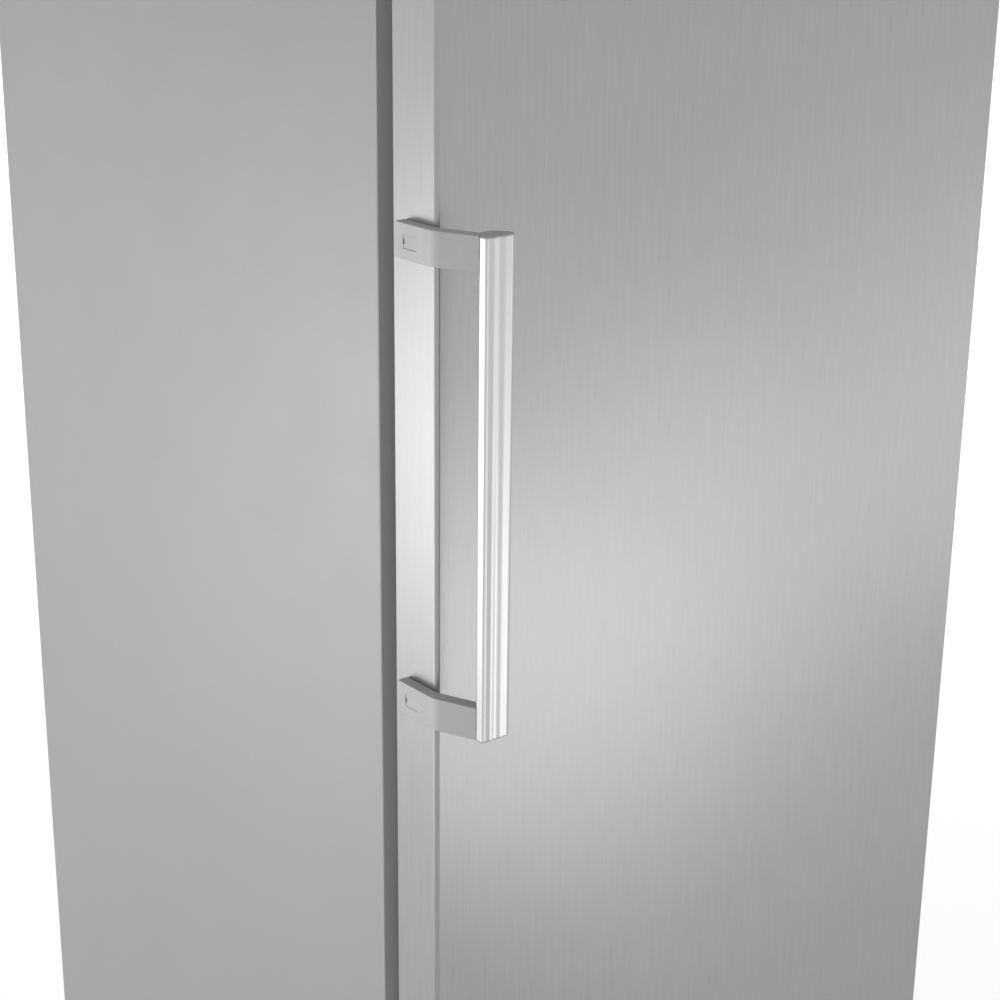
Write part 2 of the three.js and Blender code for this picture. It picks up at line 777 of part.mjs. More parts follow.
function drawer(bottom, top, back) {
  const sideTop = top - drawerSideDrop;
  const inner = drawerHalf - drawerWall;
  const across = [-drawerHalf, drawerHalf];
  const front = block(across, [drawerFront, drawerFront + drawerWall], [bottom, top]);
  const box = block(across, [drawerFront, back], [bottom, sideTop]);
  const hollow = block([-inner, inner], [drawerFront + drawerWall, back - drawerWall],
    [bottom + drawerWall, top + past]);
  const reach = drawerGripWidth / 2;
  const gripFace = drawerFront - drawerGripDepth;
  const grip = block([-reach, reach], [gripFace, drawerFront + drawerWall / 2], [top - drawerWall, top]);
  const lip = block([-reach, reach], [gripFace, gripFace + drawerWall],
    [top - drawerGripHeight, top - drawerWall / 2]);
  return join(cut(join(front, box), hollow), grip, lip);
}

function flap() {
  const reach = lugInner - flapSideGap;
  const low = shelfTops[0] + flapFootGap;
  const high = flapAxisZ + flapThickness;
  const y = around(flapAxisY, flapThickness);
  const plate = block([-reach, reach], y, [low, high]);
  const lip = block([-reach, reach], [y[0] - flapLip, flapAxisY], [low, low + flapThickness]);
  const pinEnd = controlHalf - flapPinSetback;
  const pin = sideways(circle(flapAxisY, flapAxisZ, flapPinRadius, 12), [-pinEnd, pinEnd]);
  return join(plate, lip, pin);
}

shelfTops.forEach((top, i) => add(`glass_shelf_${i + 1}`, glassShelf(top), materials.glass));
for (let i = 1; i < shelfCount; i += 1) {
  const bottom = shelfTops[i] + fit;
  const top = shelfTops[i - 1] - drawerHeadroom;
  const back = ductCoverFront - drawerRearGap;
  add(`drawer_${i}`, drawer(bottom, top, back), materials.clearPlastic);
}
const lowDrawerTop = shelfTops[shelfCount - 1] - lowDrawerHeadroom;
add(`drawer_${shelfCount}`, drawer(cavityFloor + fit, lowDrawerTop, stepFront - drawerRearGap),
  materials.clearPlastic);
add('flap', flap(), materials.clearPlastic);

// ---------------------------------------------------------------- controls and light

const controlMiddle = (controlBottom + cavityTop - fit) / 2;
const buttonPlaces = Array.from({ length: buttonCount }, (_, i) => buttonOffset + i * buttonPitch);

function controlHousing() {
  const reach = controlHalf;
  const depth = [controlFront, controlFront + controlDepth];
  const body = block([-reach, reach], depth, [controlBottom, cavityTop - fit]);
  const lugs = sides.map(([, side]) => {
    const lugZ = [flapAxisZ - lugDepth / 2, controlBottom + bite];
    const outline = rectangle(around(flapAxisY, lugDepth), lugZ);
    const hole = circle(flapAxisY, flapAxisZ, flapPinRadius + pinClearance, 12);
    return sideways(outline, span(side, lugInner, reach), [hole]);
  });
  const windowPocket = block(
    around(0, displayWidth + 2 * fit),
    [controlFront - past, controlFront + displayDepth + fit],
    around(controlMiddle, displayHeight + 2 * fit));
  const wells = buttonPlaces.map((x) => block(
    around(x, buttonWidth + 2 * buttonGap),
    [controlFront - past, controlFront + buttonDepth - buttonProud + buttonTravel + buttonGap],
    around(controlMiddle, buttonHeight + 2 * buttonGap)));
  return cut(join(body, ...lugs), windowPocket, ...wells);
}

function displayWindow() {
  const y = [controlFront, controlFront + displayDepth];
  return block(around(0, displayWidth), y, around(controlMiddle, displayHeight));
}

function button(x) {
  const y = controlFront - buttonProud;
  return block(around(x, buttonWidth), [y, y + buttonDepth], around(controlMiddle, buttonHeight));
}

function lightCover() {
  const y = controlFront + controlDepth + lightGap;
  const outline = roundedRectangle(around(0, lightWidth), [y, y + lightDepth], lightCorner);
  return upright(outline, [cavityTop - fit - lightHeight, cavityTop - fit]);
}

add('control_housing', controlHousing(), materials.linerPlastic);
add('display_window', displayWindow(), materials.darkPlastic);
buttonPlaces.forEach((x, i) => add(`button_${i + 1}`, button(x), materials.greyPlastic));
add('light_cover', lightCover(), materials.lightPlastic);

// ---------------------------------------------------------------- door

// The door in plan, drawn inwards by an inset and ending short of its back by a setback.
function doorOutline(inset, setback) {
  const front = doorFrontRadius;
  const back = outerFold;
  const depth = doorThickness - setback;
  const side = half - inset;
  return [
    ...arc(half - front, front, front - inset, -90, 0),
    at(side, depth - back),
    ...(setback > 0 ? [at(side, depth)] : arc(half - back, depth - back, back, 0, 90)),
    ...(setback > 0 ? [at(-side, depth)] : arc(back - half, depth - back, back, 90, 180)),
    at(-side, depth - back),
    ...arc(front - half, front, front - inset, 180, 270),
  ];
}

function doorPanel() {
  const front = doorFrontRadius;
  const back = outerFold;
  const outside = [
    ...arc(half - front, front, front, -90, 0),
    ...arc(half - back, doorThickness - back, back, 0, 90),
    at(half - doorReturn, doorThickness),
  ];
  const inside = [
    at(half - doorReturn, doorThickness - sheet),
    ...arc(half - back, doorThickness - back, foldRadius, 90, 0),
    ...arc(half - front, front, front - sheet, 0, -90),
  ];
  const outline = [
    ...outside,
    ...inside,
    ...mirrored(inside, -1).reverse(),
    ...mirrored(outside, -1).reverse(),
  ];
  return upright(outline, [skinBottom, skinTop]);
}

function doorCap(z) {
  return upright(doorOutline(0, 0), z, [circle(hingeX, hingeSetback, pinRadius + pinClearance)]);
}

const rimBack = doorThickness;
const rimFront = doorThickness - linerSheet;
const rimHalf = half - doorReturn - fit;
const dykeX = [dykeInset - half, half - dykeInset];
const dykeZ = [doorBottom + dykeInset, doorTop - dykeInset];

function doorLiner() {
  const rim = facing(rectangle([-rimHalf, rimHalf], [skinBottom, skinTop]), [rimFront, rimBack]);
  const dyke = facing(roundedRectangle(dykeX, dykeZ, dykeCorner), [rimFront, rimBack + dykeHeight]);
  const hollow = facing(
    roundedRectangle(shrink(dykeX, linerSheet), shrink(dykeZ, linerSheet), dykeCorner - linerSheet),
    [rimFront - past, rimBack + dykeHeight - linerSheet]);
  return cut(join(rim, dyke), hollow);
}

function doorFoam() {
  const slab = upright(doorOutline(sheet + fit, linerSheet + fit), [skinBottom, skinTop]);
  const margin = linerSheet + fit;
  const fill = facing(
    roundedRectangle(shrink(dykeX, margin), shrink(dykeZ, margin), dykeCorner - margin),
    [rimFront - margin - bite, rimBack + dykeHeight - margin]);
  return join(slab, fill);
}

function doorGasket() {
  const x = [gasketInset - half, half - gasketInset];
  const z = [doorBottom + gasketInset, doorTop - gasketInset];
  const hole = roundedRectangle(shrink(x, gasketWidth), shrink(z, gasketWidth), gasketInnerCorner);
  return facing(roundedRectangle(x, z, gasketCorner), [doorThickness + fit, gasketBack], [hole]);
}

add('door_panel', doorPanel(), materials.brushedSteel);
add('door_top_cap', doorCap([doorTop - doorCapHeight, doorTop]), materials.greyPlastic);
add('door_bottom_cap', doorCap([doorBottom, doorBottom + doorCapHeight]), materials.greyPlastic);
add('door_liner', doorLiner(), materials.linerPlastic);
add('door_foam', doorFoam(), materials.foam);
add('door_gasket', doorGasket(), materials.gasketRubber);

// ---------------------------------------------------------------- handle

// Plan of an arm: flat on the door's side, bent round its front corner, cut off at the grip.
function armOutline() {
  const turn = 180 + armBendAngle;
  const inside = arc(armInnerRadius - armInner, -armInnerBend, armInnerRadius, 180, turn, 3);
  const outside = arc(armOuterRadius - armOuter, -armOuterBend, armOuterRadius, turn, 180, 5);
  const heading = THREE.MathUtils.degToRad(armBendAngle);
  const along = at(Math.sin(heading), -Math.cos(heading));
  const cutHeading = THREE.MathUtils.degToRad(armEndAngle);
  const across = at(Math.sin(cutHeading), Math.cos(cutHeading));
  const outerEnd = outside[0].clone().addScaledVector(along, armSlantLength);
  const innerStart = inside[3];
  const slant = outerEnd.clone().sub(innerStart).cross(across) / along.cross(across);
  const innerEnd = innerStart.clone().addScaledVector(along, slant);
  return [at(-armInner, armBack), ...inside, innerEnd, outerEnd, ...outside, at(-armOuter, armBack)];
}

const armPlan = armOutline();
const [armInnerEnd, armOuterEnd] = [armPlan[5], armPlan[6]];

function handleArm(bottom) {
  const arm = upright(armPlan, [bottom, bottom + armHeight]);
  const seat = block([-armOuter - past, capDepth + fit - armOuter],
    [capBack - fit, capBack + capLength + fit],
    [bottom + capRise - fit, bottom + capRise + capHeight + fit]);
  return cut(arm, seat);
}

function armCap(bottom) {
  const z = [bottom + capRise, bottom + capRise + capHeight];
  const cover = block([-armOuter, capDepth - armOuter], [capBack, capBack + capLength], z);
  const middle = (z[0] + z[1]) / 2;
  const notch = block([-armOuter - past, capDepth / 2 - armOuter],
    [capBack + capLength - notchWidth, capBack + capLength + past],
    [middle - notchHeight / 2, middle + notchHeight / 2]);
  return cut(cover, notch);
}

// Plan of the grip: fluted front, round ends, and a back that meets the arms' ends.
function gripOutline() {
  const cutHeading = THREE.MathUtils.degToRad(armEndAngle);
  const push = at(Math.cos(cutHeading), -Math.sin(cutHeading)).multiplyScalar(fit);
  const seatLeft = armOuterEnd.clone().add(push);
  const seatRight = armInnerEnd.clone().add(push);
  const right = gripRightEnd - half;
  const r = gripEndRadius;
  const leftCentre = at(seatLeft.x + r - gripOverhang, r - gripFront);
  const rightCentre = at(right - r, r - gripFront + gripFrontSlope);
  const front = Array.from({ length: fluteSteps + 1 }, (_, i) => {
    const t = i / fluteSteps;
    const wave = fluteDepth * (1 - Math.cos(2 * Math.PI * fluteCount * t)) / 2;
    return at(
      THREE.MathUtils.lerp(leftCentre.x, rightCentre.x, t),
      THREE.MathUtils.lerp(leftCentre.y, rightCentre.y, t) - r + wave);
  });
  return [
    seatRight,
    seatLeft,
    ...arc(leftCentre.x, leftCentre.y, r, 180, 255, 5),
    ...front.slice(1, fluteSteps),
    ...arc(rightCentre.x, rightCentre.y, r, 285, 420, 7),
  ];
}

const gripPlan = gripOutline();

add('handle_arm_upper', handleArm(armBottoms[0]), materials.armPaint);
add('handle_arm_lower', handleArm(armBottoms[1]), materials.armPaint);
add('arm_cap_upper', armCap(armBottoms[0]), materials.armPaint);
add('arm_cap_lower', armCap(armBottoms[1]), materials.armPaint);
add('handle_grip', upright(gripPlan, [gripBottom, gripTop]), materials.gripMetal);

// ---------------------------------------------------------------- hinges

function topHinge() {
  const z = [cabinetHeight + fit, cabinetHeight + fit + hingePlate];
  const plate = block(hingePlateX, [hingePlateFront, cabinetFront + hingeLanding], z);
  const pin = upright(circle(hingeX, hingeSetback, pinRadius), [cabinetHeight - pinReach, z[0] + bite]);
  return join(plate, pin);
}

function bottomHinge() {
  const back = cabinetFront - fit;
  const plateTop = doorBottom - fit - hingePlate;
  const wall = block(hingePlateX, [back - hingePlate, back], [railBottom, plateTop]);
  const plate = block(hingePlateX, [hingePlateFront, back], [plateTop - hingePlate, plateTop]);
  const low = plateTop - bite;
  const collar = upright(circle(hingeX, hingeSetback, collarRadius), [low, doorBottom - fit]);
  const pin = upright(circle(hingeX, hingeSetback, pinRadius), [low, doorBottom + lowerPinReach]);
  return join(plate, wall, collar, pin);
}

function topHingeCover() {
  const low = cabinetHeight + fit;
  const outer = [hingePlateX[0] - hingeCoverSide, half];
  const y = [hingePlateFront - hingeCoverFront, cabinetFront + hingeLanding + hingeCoverRear];
  const outside = upright(roundedRectangle(outer, y, hingeCoverCorner), [low, low + hingeCoverHeight]);
  const reach = [hingePlateX[0] - fit, hingePlateX[1] + fit];
  const inside = block(reach, [hingePlateFront - fit, cabinetFront + hingeLanding + fit],
    [low - past, low + hingeCoverHeight - hingeCoverWall]);
  return cut(outside, inside);
}

add('top_hinge_bracket', topHinge(), materials.zincSteel);
add('top_hinge_cover', topHingeCover(), materials.greyPlastic);
add('bottom_hinge_bracket', bottomHinge(), materials.zincSteel);

// ---------------------------------------------------------------- feet and rollers

function frontFoot(place) {
  const collar = baseClearance - footBossHeight - fit;
  const top = baseClearance - fit;
  return turned([
    [0, 0],
    [footPadRadius - footChamfer, 0],
    [footPadRadius, footChamfer],
    [footPadRadius, footPadHeight],
    [footCollarRadius, footPadHeight],
    [footCollarRadius, collar],
    [footStemRadius, collar],
    [footStemRadius, top],
    [0, top],
  ], place);
}

// A flat of the wheel faces the floor, so the circle round its corners is a little larger.
function rearRoller([x, y]) {
  const flats = 24;
  const wheelCorner = rollerRadius / Math.cos(Math.PI / flats);
  const turn = 180 / flats;
  const wheel = arc(y, rollerRadius, wheelCorner, -90 + turn, 270 - turn, flats - 1);
  const axle = circle(y, rollerRadius, axleRadius, 12);
  const reach = cheekGap + rollerCheek;
  return join(
    sideways(wheel, [x - rollerWidth / 2, x + rollerWidth / 2]),
    sideways(axle, [x - reach, x + reach]));
}

sides.forEach(([word], i) => {
  add(`front_foot_${word}`, frontFoot(footPlaces[i]), materials.darkPlastic);
  add(`rear_roller_${word}`, rearRoller(rollerPlaces[i]), materials.darkPlastic);
});

// The group's origin: the middle of the whole outline on the floor.
const gripFace = Math.min(...gripPlan.map((point) => point.y));
freezer.position.set((armOuter - half) / 2, -(gripFace + bodyDepth) / 2, 0);

export default freezer;
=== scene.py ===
"""Dresses the upright freezer's frame: finishes, rounded shells, fittings, lamps and camera."""

import math
from collections import namedtuple

import bmesh
import bpy
from mathutils import Matrix, Vector


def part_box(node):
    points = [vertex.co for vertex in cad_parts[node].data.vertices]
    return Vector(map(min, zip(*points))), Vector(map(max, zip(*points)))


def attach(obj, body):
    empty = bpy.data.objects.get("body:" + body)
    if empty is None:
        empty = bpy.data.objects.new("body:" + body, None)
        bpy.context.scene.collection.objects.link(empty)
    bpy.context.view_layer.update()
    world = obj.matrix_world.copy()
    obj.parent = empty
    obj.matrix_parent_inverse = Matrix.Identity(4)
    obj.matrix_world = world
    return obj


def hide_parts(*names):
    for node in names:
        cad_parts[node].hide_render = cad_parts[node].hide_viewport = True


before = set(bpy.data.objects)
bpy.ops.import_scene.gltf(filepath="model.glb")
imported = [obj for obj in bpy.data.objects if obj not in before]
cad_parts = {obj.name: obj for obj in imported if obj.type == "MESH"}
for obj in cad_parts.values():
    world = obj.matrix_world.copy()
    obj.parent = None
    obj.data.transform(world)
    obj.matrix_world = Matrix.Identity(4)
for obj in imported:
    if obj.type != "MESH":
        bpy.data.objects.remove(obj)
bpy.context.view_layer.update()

bl_info = {
    "name": "Upright Freezer",
    "version": (1, 0, 0),
    "blender": (4, 5, 0),
    "location": "3D View > Sidebar > Freezer",
    "description": "Builds the visible shells, fittings and finishes of an upright freezer",
    "category": "Add Mesh",
}

CABINET = "cabinet"
DOOR = "door"

MM = 0.001
LEAST_CORNER = 0.0003
SAME = 1e-6  # two places nearer than this count as one
ALIGNED = 0.05  # sine of an angle below which two directions count as one


# ------------------------------------------------------------------ settings


def length(label, default, note):
    return bpy.props.FloatProperty(name=label, description=note, default=default, min=0.0, unit="LENGTH")


def angle(label, degrees, note):
    return bpy.props.FloatProperty(
        name=label, description=note, default=math.radians(degrees), subtype="ANGLE")


def number(label, default, note):
    return bpy.props.IntProperty(name=label, description=note, default=default, min=2)


def tone(label, default, note):
    return bpy.props.FloatVectorProperty(
        name=label, description=note, default=default, size=3, subtype="COLOR")


class FreezerSizes(bpy.types.PropertyGroup):
    """Sizes of edges and small forms, in metres, and how many there are of like forms."""

    fit: length("Fit", 0.0003, "Gap between pieces that meet")
    past: length("Past", 0.001, "How far a cutting shape runs past a face")
    edge_round: length("Edge rounding", 0.0006, "Rounding of a moulded or cut edge")
    sheet: length("Sheet", 0.001, "Thickness of the steel skin")
    skin_fold: length("Skin fold", 0.0016, "Outer radius of a fold in the cabinet's sheet")
    door_corner: length("Door corner", 0.0036, "Outer radius of the door skin's front corners")
    door_return: length("Door return", 0.012, "Skin folded in at the door's back")
    rear_flange: length("Rear flange", 0.014, "Side panel folded in at the cabinet's back")
    cap_tray: length("Cap tray", 0.016, "From the door cap's edge to the shallow tray in its face")
    cap_depth: length("Cap tray depth", 0.0015, "Depth of the tray in a door cap")
    hinge_bore: length("Hinge bore", 0.0055, "Radius of the bore for the hinge pin")
    hinge_inset: length("Hinge inset", 0.014, "Hinge pin's axis from the door's right side")
    hinge_setback: length("Hinge setback", 0.025, "Hinge pin's axis from the door's front")
    hinge_plate: length("Hinge plate", 0.004, "Thickness of the hinge plates")
    hinge_nose: length("Hinge nose", 0.008, "Corner radius of the bottom hinge's plate")
    hinge_collar: length("Hinge collar", 0.009, "Radius of the collar that carries the door")
    hinge_pin: length("Hinge pin", 0.005, "Radius of the bottom hinge's pin")
    cover_wall: length("Cover wall", 0.002, "Wall and edge rounding of the hinge cover")
    moulding: length("Moulded wall", 0.0015, "Thickness of the white liners")
    dyke_inset: length("Dyke inset", 0.055, "From the door's edges to the raised middle of its liner")
    dyke_corner: length("Dyke corner", 0.012, "Corner radius of the raised middle")
    dyke_fold: length("Dyke fold", 0.003, "Rounding at the foot and top of the raised middle")
    dyke_border: length("Dyke border", 0.034, "Width of the border round the liner's sunken field")
    field_sink: length("Field sink", 0.001, "Depth of the liner's sunken field")
    liner_edge: length("Liner edge", 0.002, "Corner radius of the door liner's sheet")
    seal_corner: length("Seal corner", 0.006, "Corner radius of the door seal")
    emboss: length("Emboss", 0.0008, "Height of the bead in the back sheet")
    back_border: length("Back border", 0.03, "Edge of the back sheet, which the screws hold")
    back_corner: length("Back corner", 0.02, "Corner radius of the bead in the back sheet")
    screw_radius: length("Screw radius", 0.004, "Radius of a screw's head")
    liner_corner: length("Liner corner", 0.0045, "Rounding inside the cabinet's liner")
    ledge: length("Ledge", 0.008, "Height and width of the ledges that carry the shelves")
    tub_wall: length("Tub wall", 0.0025, "Thickness of the drawers")
    tub_fold: length("Tub fold", 0.006, "Rounding along the foot of the drawers")
    tub_corner: length("Tub corner", 0.014, "Corner radius of the drawers")
    tub_drop: length("Tub drop", 0.018, "Drawer's sides below its front")
    drawer_grip: length("Drawer grip", 0.15, "Width of a drawer's grip")
    drawer_reach: length("Drawer reach", 0.012, "Depth of a drawer's grip")
    drawer_lip: length("Drawer lip", 0.014, "Height of a drawer's grip")
    pane: length("Pane", 0.004, "Thickness of a shelf's glass")
    trim_lip: length("Trim lip", 0.0003, "Thickness of a shelf's trim over its glass")
    trim_slack: length("Trim slack", 0.0001, "Gap between a shelf's trim and its glass")
    trim_depth: length("Trim depth", 0.014, "Depth of a shelf's front trim")
    fan_hole: length("Fan hole", 0.058, "Radius of the fan's hole in the air duct cover")
    fan_drop: length("Fan drop", 0.14, "Fan's axis below the ceiling")
    flap_plate: length("Flap plate", 0.004, "Thickness of the flap")
    flap_pin: length("Flap pin", 0.003, "Radius of the pin that the flap turns on")
    vent_length: length("Vent length", 0.13, "Length of an air vent")
    vent_height: length("Vent height", 0.007, "Height of an air vent")
    hub_radius: length("Hub radius", 0.018, "Radius of the fan's hub")
    hub_bore: length("Hub bore", 0.00348, "Radius of the bore in the fan's hub")
    motor_plate: length("Motor plate", 0.003, "Thickness of the plate that holds the motor")
    motor_depth: length("Motor depth", 0.026, "Depth of the fan motor's can")
    fin_pitch: length("Fin pitch", 0.006, "Spacing of the evaporator's fins")
    fin_sheet: length("Fin sheet", 0.0005, "Thickness of a cooling fin")
    fin_setback: length("Fin setback", 0.006, "From the evaporator's back to its fins")
    fin_margin: length("Fin margin", 0.021, "From the evaporator's ends to its outer fins")
    coil_bend: length("Coil bend", 0.0145, "Radius of the bends in the evaporator's pipes")
    coil_pipe: length("Coil pipe", 0.004, "Radius of the evaporator's pipes")
    coil_rise: length("Coil rise", 0.0175, "From the evaporator's underside to its first pass")
    coil_front: length("Front coil", 0.011, "From the evaporator's front to its first row of pipes")
    coil_rear: length("Rear coil", 0.034, "From the evaporator's front to its second row of pipes")
    can_radius: length("Can radius", 0.068, "Radius of the compressor's can")
    condenser_pitch: length("Condenser pitch", 0.024, "Spacing of the condenser's passes")
    condenser_tube: length("Condenser tube", 0.0035, "Radius of the condenser's tube")
    condenser_gap: length("Condenser gap", 0.0045, "Spacing of the condenser's fins")
    condenser_margin: length("Condenser margin", 0.0285, "From the condenser's ends to its outer fins")
    compressor_mount: length("Compressor mount", 0.016, "Height of the compressor over its bay's floor")
    pipe_stub: length("Pipe stub", 0.0019, "Radius of the compressor's pipes")
    inlet_wall: length("Inlet wall", 0.004, "Wall of the mains inlet")
    foot_pad: length("Foot pad", 0.02, "Radius of a front foot's pad")
    foot_stem: length("Foot stem", 0.006, "Radius of a front foot's stem")
    axle: length("Axle", 0.004, "Radius of a rear roller's axle")
    roller_half: length("Roller half", 0.01, "Half the width of a rear roller")
    plinth_bar: length("Plinth bar", 0.017, "Bar between the plinth's slots")
    plinth_slot: length("Plinth slot", 0.02, "Height of the plinth's slots")
    slat_pitch: length("Slat pitch", 0.006, "Spacing of the slats behind the plinth's slots")
    plinth_slots: number("Plinth slots", 9, "Number of slots in the plinth")
    vents: number("Vents", 5, "Number of air vents under the fan")
    vent_bars: number("Vent bars", 13, "Number of bars across each air vent")
    spokes: number("Guard spokes", 12, "Number of spokes of the fan's guard")
    blades: number("Blades", 7, "Number of blades on the fan")
    motor_ribs: number("Motor ribs", 24, "Number of ribs round the fan's motor")
    coils: number("Coils", 6, "Number of passes of the evaporator's pipes")
    passes: number("Passes", 6, "Number of passes of the condenser's tube")
    back_rows: number("Back screws", 8, "Number of screws down each side of the back sheet")
    drawer_ribs: number("Drawer ribs", 13, "Number of ribs on a drawer's front")
    flap_ribs: number("Flap ribs", 15, "Number of ribs on the flap")
    lens_ribs: number("Lens ribs", 27, "Number of ribs on the lamp's cover")
    foot_ribs: number("Foot ribs", 32, "Number of ribs round a foot's pad")
    foot_turns: number("Foot turns", 12, "Number of turns of a foot's thread")
    wheel_spokes: number("Wheel spokes", 6, "Number of spokes of a rear roller")


class FreezerHandle(bpy.types.PropertyGroup):
    """Sizes of the handle, in plan from the door's front left corner."""

    fit: length("Fit", 0.0003, "Gap between pieces that meet")
    edge: length("Edge", 0.0005, "Rounding of the arms' edges")
    back: length("Arm back", 0.035, "Arm's reach along the door's side")
    inner_bend: length("Inner bend", 0.001, "Start of the inner bend in front of the door")
    outer_bend: length("Outer bend", 0.0016, "Start of the outer bend in front of the door")
    inner_radius: length("Inner radius", 0.004, "Radius of the inner bend")
    outer_radius: length("Outer radius", 0.030, "Radius of the outer bend")
    bend: angle("Bend", 22.5, "Turn of the arm towards the door's middle")
    slant: length("Slant", 0.0313, "Arm's outer length past the bend")
    end_cut: angle("End cut", 37.2, "Heading of the cut that meets the grip")
    grip_right: length("Grip's right end", 0.0321, "From the door's left side")
    grip_front: length("Grip front", 0.0497, "From the door's front")
    grip_radius: length("Grip end radius", 0.0060, "Radius of the bar's right end")
    grip_nose: length("Grip nose radius", 0.0013, "Radius of the bar's left end")
    grip_bulge: length("Grip bulge", 0.0035, "How far the bar's back stands out of a straight line")
    grip_drop: length("Grip drop", 0.0003, "How far the front falls back at its right end")
    overhang: length("Overhang", 0.0001, "Grip past the arm's outer corner")
    grip_end: length("Grip end plate", 0.001, "Thickness of the plate on each end of the bar")
    parting: length("Parting line", 0.0004, "Width of the line round a screw cover")
    cover_sink: length("Cover sink", 0.00005, "Screw cover below the arm's face")
    slot_width: length("Slot width", 0.0013, "Pry slot in the screw cover")
    slot_height: length("Slot height", 0.004, "Pry slot in the screw cover")
    slot_floor: length("Slot floor", 0.0005, "Cover left behind the pry slot")
    cut: length("Cut", 0.001, "How far a cutting shape runs past a face")


class FreezerColours(bpy.types.PropertyGroup):
    """Base colours of the finishes, linear."""

    side_paint: tone("Side paint", (0.336, 0.336, 0.338), "Silver paint of the cabinet's sides")
    brushed_steel: tone("Brushed steel", (0.297, 0.297, 0.296), "Door skin")
    arm_paint: tone("Arm paint", (0.42, 0.42, 0.42), "Handle arms and their covers")
    grip_metal: tone("Grip metal", (0.46, 0.46, 0.46), "Anodised handle bar")
    zinc_steel: tone("Zinc steel", (0.52, 0.53, 0.54), "Plated sheet, hinges and screws")
    black_paint: tone("Black paint", (0.022, 0.022, 0.025), "Compressor's can")
    copper: tone("Copper", (0.66, 0.33, 0.21), "Condenser and refrigerant pipes")
    bare_aluminium: tone("Bare aluminium", (0.72, 0.73, 0.74), "Fins and heater")
    liner_plastic: tone("Liner plastic", (0.82, 0.83, 0.83), "White mouldings inside")
    grey_plastic: tone("Grey plastic", (0.28, 0.285, 0.295), "Door caps, plinth and buttons")
    dark_plastic: tone("Dark plastic", (0.035, 0.035, 0.038), "Feet, rollers, motor and tray")
    gasket_rubber: tone("Gasket rubber", (0.36, 0.365, 0.37), "Door seal")
    foam: tone("Foam", (0.68, 0.58, 0.32), "Insulation between the skins")
    clear_plastic: tone("Clear plastic", (0.80, 0.86, 0.89), "Drawers and flap")
    glass: tone("Glass", (0.62, 0.78, 0.74), "Shelf panes")
    light_plastic: tone("Light plastic", (0.80, 0.80, 0.78), "Lamp cover and shelf trims")


class FreezerStage(bpy.types.PropertyGroup):
    """Camera's place, heading, dip, roll and lens."""

    camera_from_corner: bpy.props.FloatVectorProperty(
        name="Camera place", description="Camera from the door's front left corner and the upper arm's foot",
        default=(-0.862651, -1.123261, 0.318876), size=3, subtype="XYZ", unit="LENGTH")
    heading: angle("Heading", 39.381, "Camera's turn to the right of straight ahead")
    dip: angle("Dip", 19.155, "Camera's tilt below the horizon")
    roll: angle("Roll", 0.602, "Camera's turn about its own line of sight")
    lens: bpy.props.FloatProperty(
        name="Lens", description="Focal length on a 36 mm wide sensor", default=74.963, unit="CAMERA")


# ------------------------------------------------------------------ outlines


def oval(cx, cy, wide, tall, start, end, steps=8):
    """Points on a stretch of an ellipse, angles in degrees."""
    turns = [math.radians(start + (end - start) * i / steps) for i in range(steps + 1)]
    return [(cx + wide * math.cos(t), cy + tall * math.sin(t)) for t in turns]


def arc(cx, cy, radius, start, end, steps=8):
    return oval(cx, cy, radius, radius, start, end, steps)


def rounded_rectangle(x0, x1, y0, y1, radius, steps=6):
    """A rectangle's outline with round corners, counter-clockwise from its lower right one."""
    return (
        arc(x1 - radius, y0 + radius, radius, -90, 0, steps)
        + arc(x1 - radius, y1 - radius, radius, 0, 90, steps)
        + arc(x0 + radius, y1 - radius, radius, 90, 180, steps)
        + arc(x0 + radius, y0 + radius, radius, 180, 270, steps)
    )


def circle(cx, cy, radius, sides=32):
    return arc(cx, cy, radius, 0, 360 - 360 / sides, sides - 1)


def plan_loop(x, y, radius, z):
    """A rounded rectangle lying level."""
    return [(u, v, z) for u, v in rounded_rectangle(*x, *y, max(radius, LEAST_CORNER))]


def wall_loop(x, z, radius, y):
    """A rounded rectangle in a plane that faces the room."""
    return [(u, y, v) for u, v in rounded_rectangle(*x, *z, max(radius, LEAST_CORNER), 8)]


def flipped(outline):
    """The outline mirrored about x = 0, in the same turning sense."""
    return [(-x, y) for x, y in reversed(outline)]


def shifted(outline, dx, dy=0.0):
    return [(x + dx, y + dy) for x, y in outline]


def placed(table, across=0.0, up=0.0):
    """A table of pairs in millimetres as metres, moved to its place."""
    return [(across + u * MM, up + v * MM) for u, v in table]


def spans(node):
    """A CAD node's reach along x, y and z, each a pair of low and high."""
    low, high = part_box(node)
    return (low.x, high.x), (low.y, high.y), (low.z, high.z)


def inset(pair, margin):
    """The pair with both its ends moved inwards."""
    return pair[0] + margin, pair[1] - margin


def along(pair, share):
    """The place at a share of the way from low to high."""
    return pair[0] + (pair[1] - pair[0]) * share


def mid(pair):
    return along(pair, 0.5)


# How each plane takes an outline's two directions and the third one.
PLACE = {
    "plan": lambda u, v, w: (u, v, w),
    "front": lambda u, v, w: (u, w, v),
    "side": lambda u, v, w: (w, u, v),
}


# ------------------------------------------------------------------ meshes


def prism(outline, low, high, plane="plan"):
    """A bmesh of the outline carried from low to high along the third axis."""
    bm = bmesh.new()
    place = PLACE[plane]
    ends = [[bm.verts.new(place(u, v, w)) for u, v in outline] for w in (low, high)]
    count = len(outline)
    bm.faces.new(ends[0])
    bm.faces.new(ends[1])
    for i in range(count):
        j = (i + 1) % count
        bm.faces.new((ends[0][i], ends[0][j], ends[1][j], ends[1][i]))
    bmesh.ops.recalc_face_normals(bm, faces=bm.faces)
    return bm


def block(low, high):
    """A bmesh box between two corners."""
    outline = [(low[0], low[1]), (high[0], low[1]), (high[0], high[1]), (low[0], high[1])]
    return prism(outline, low[2], high[2])


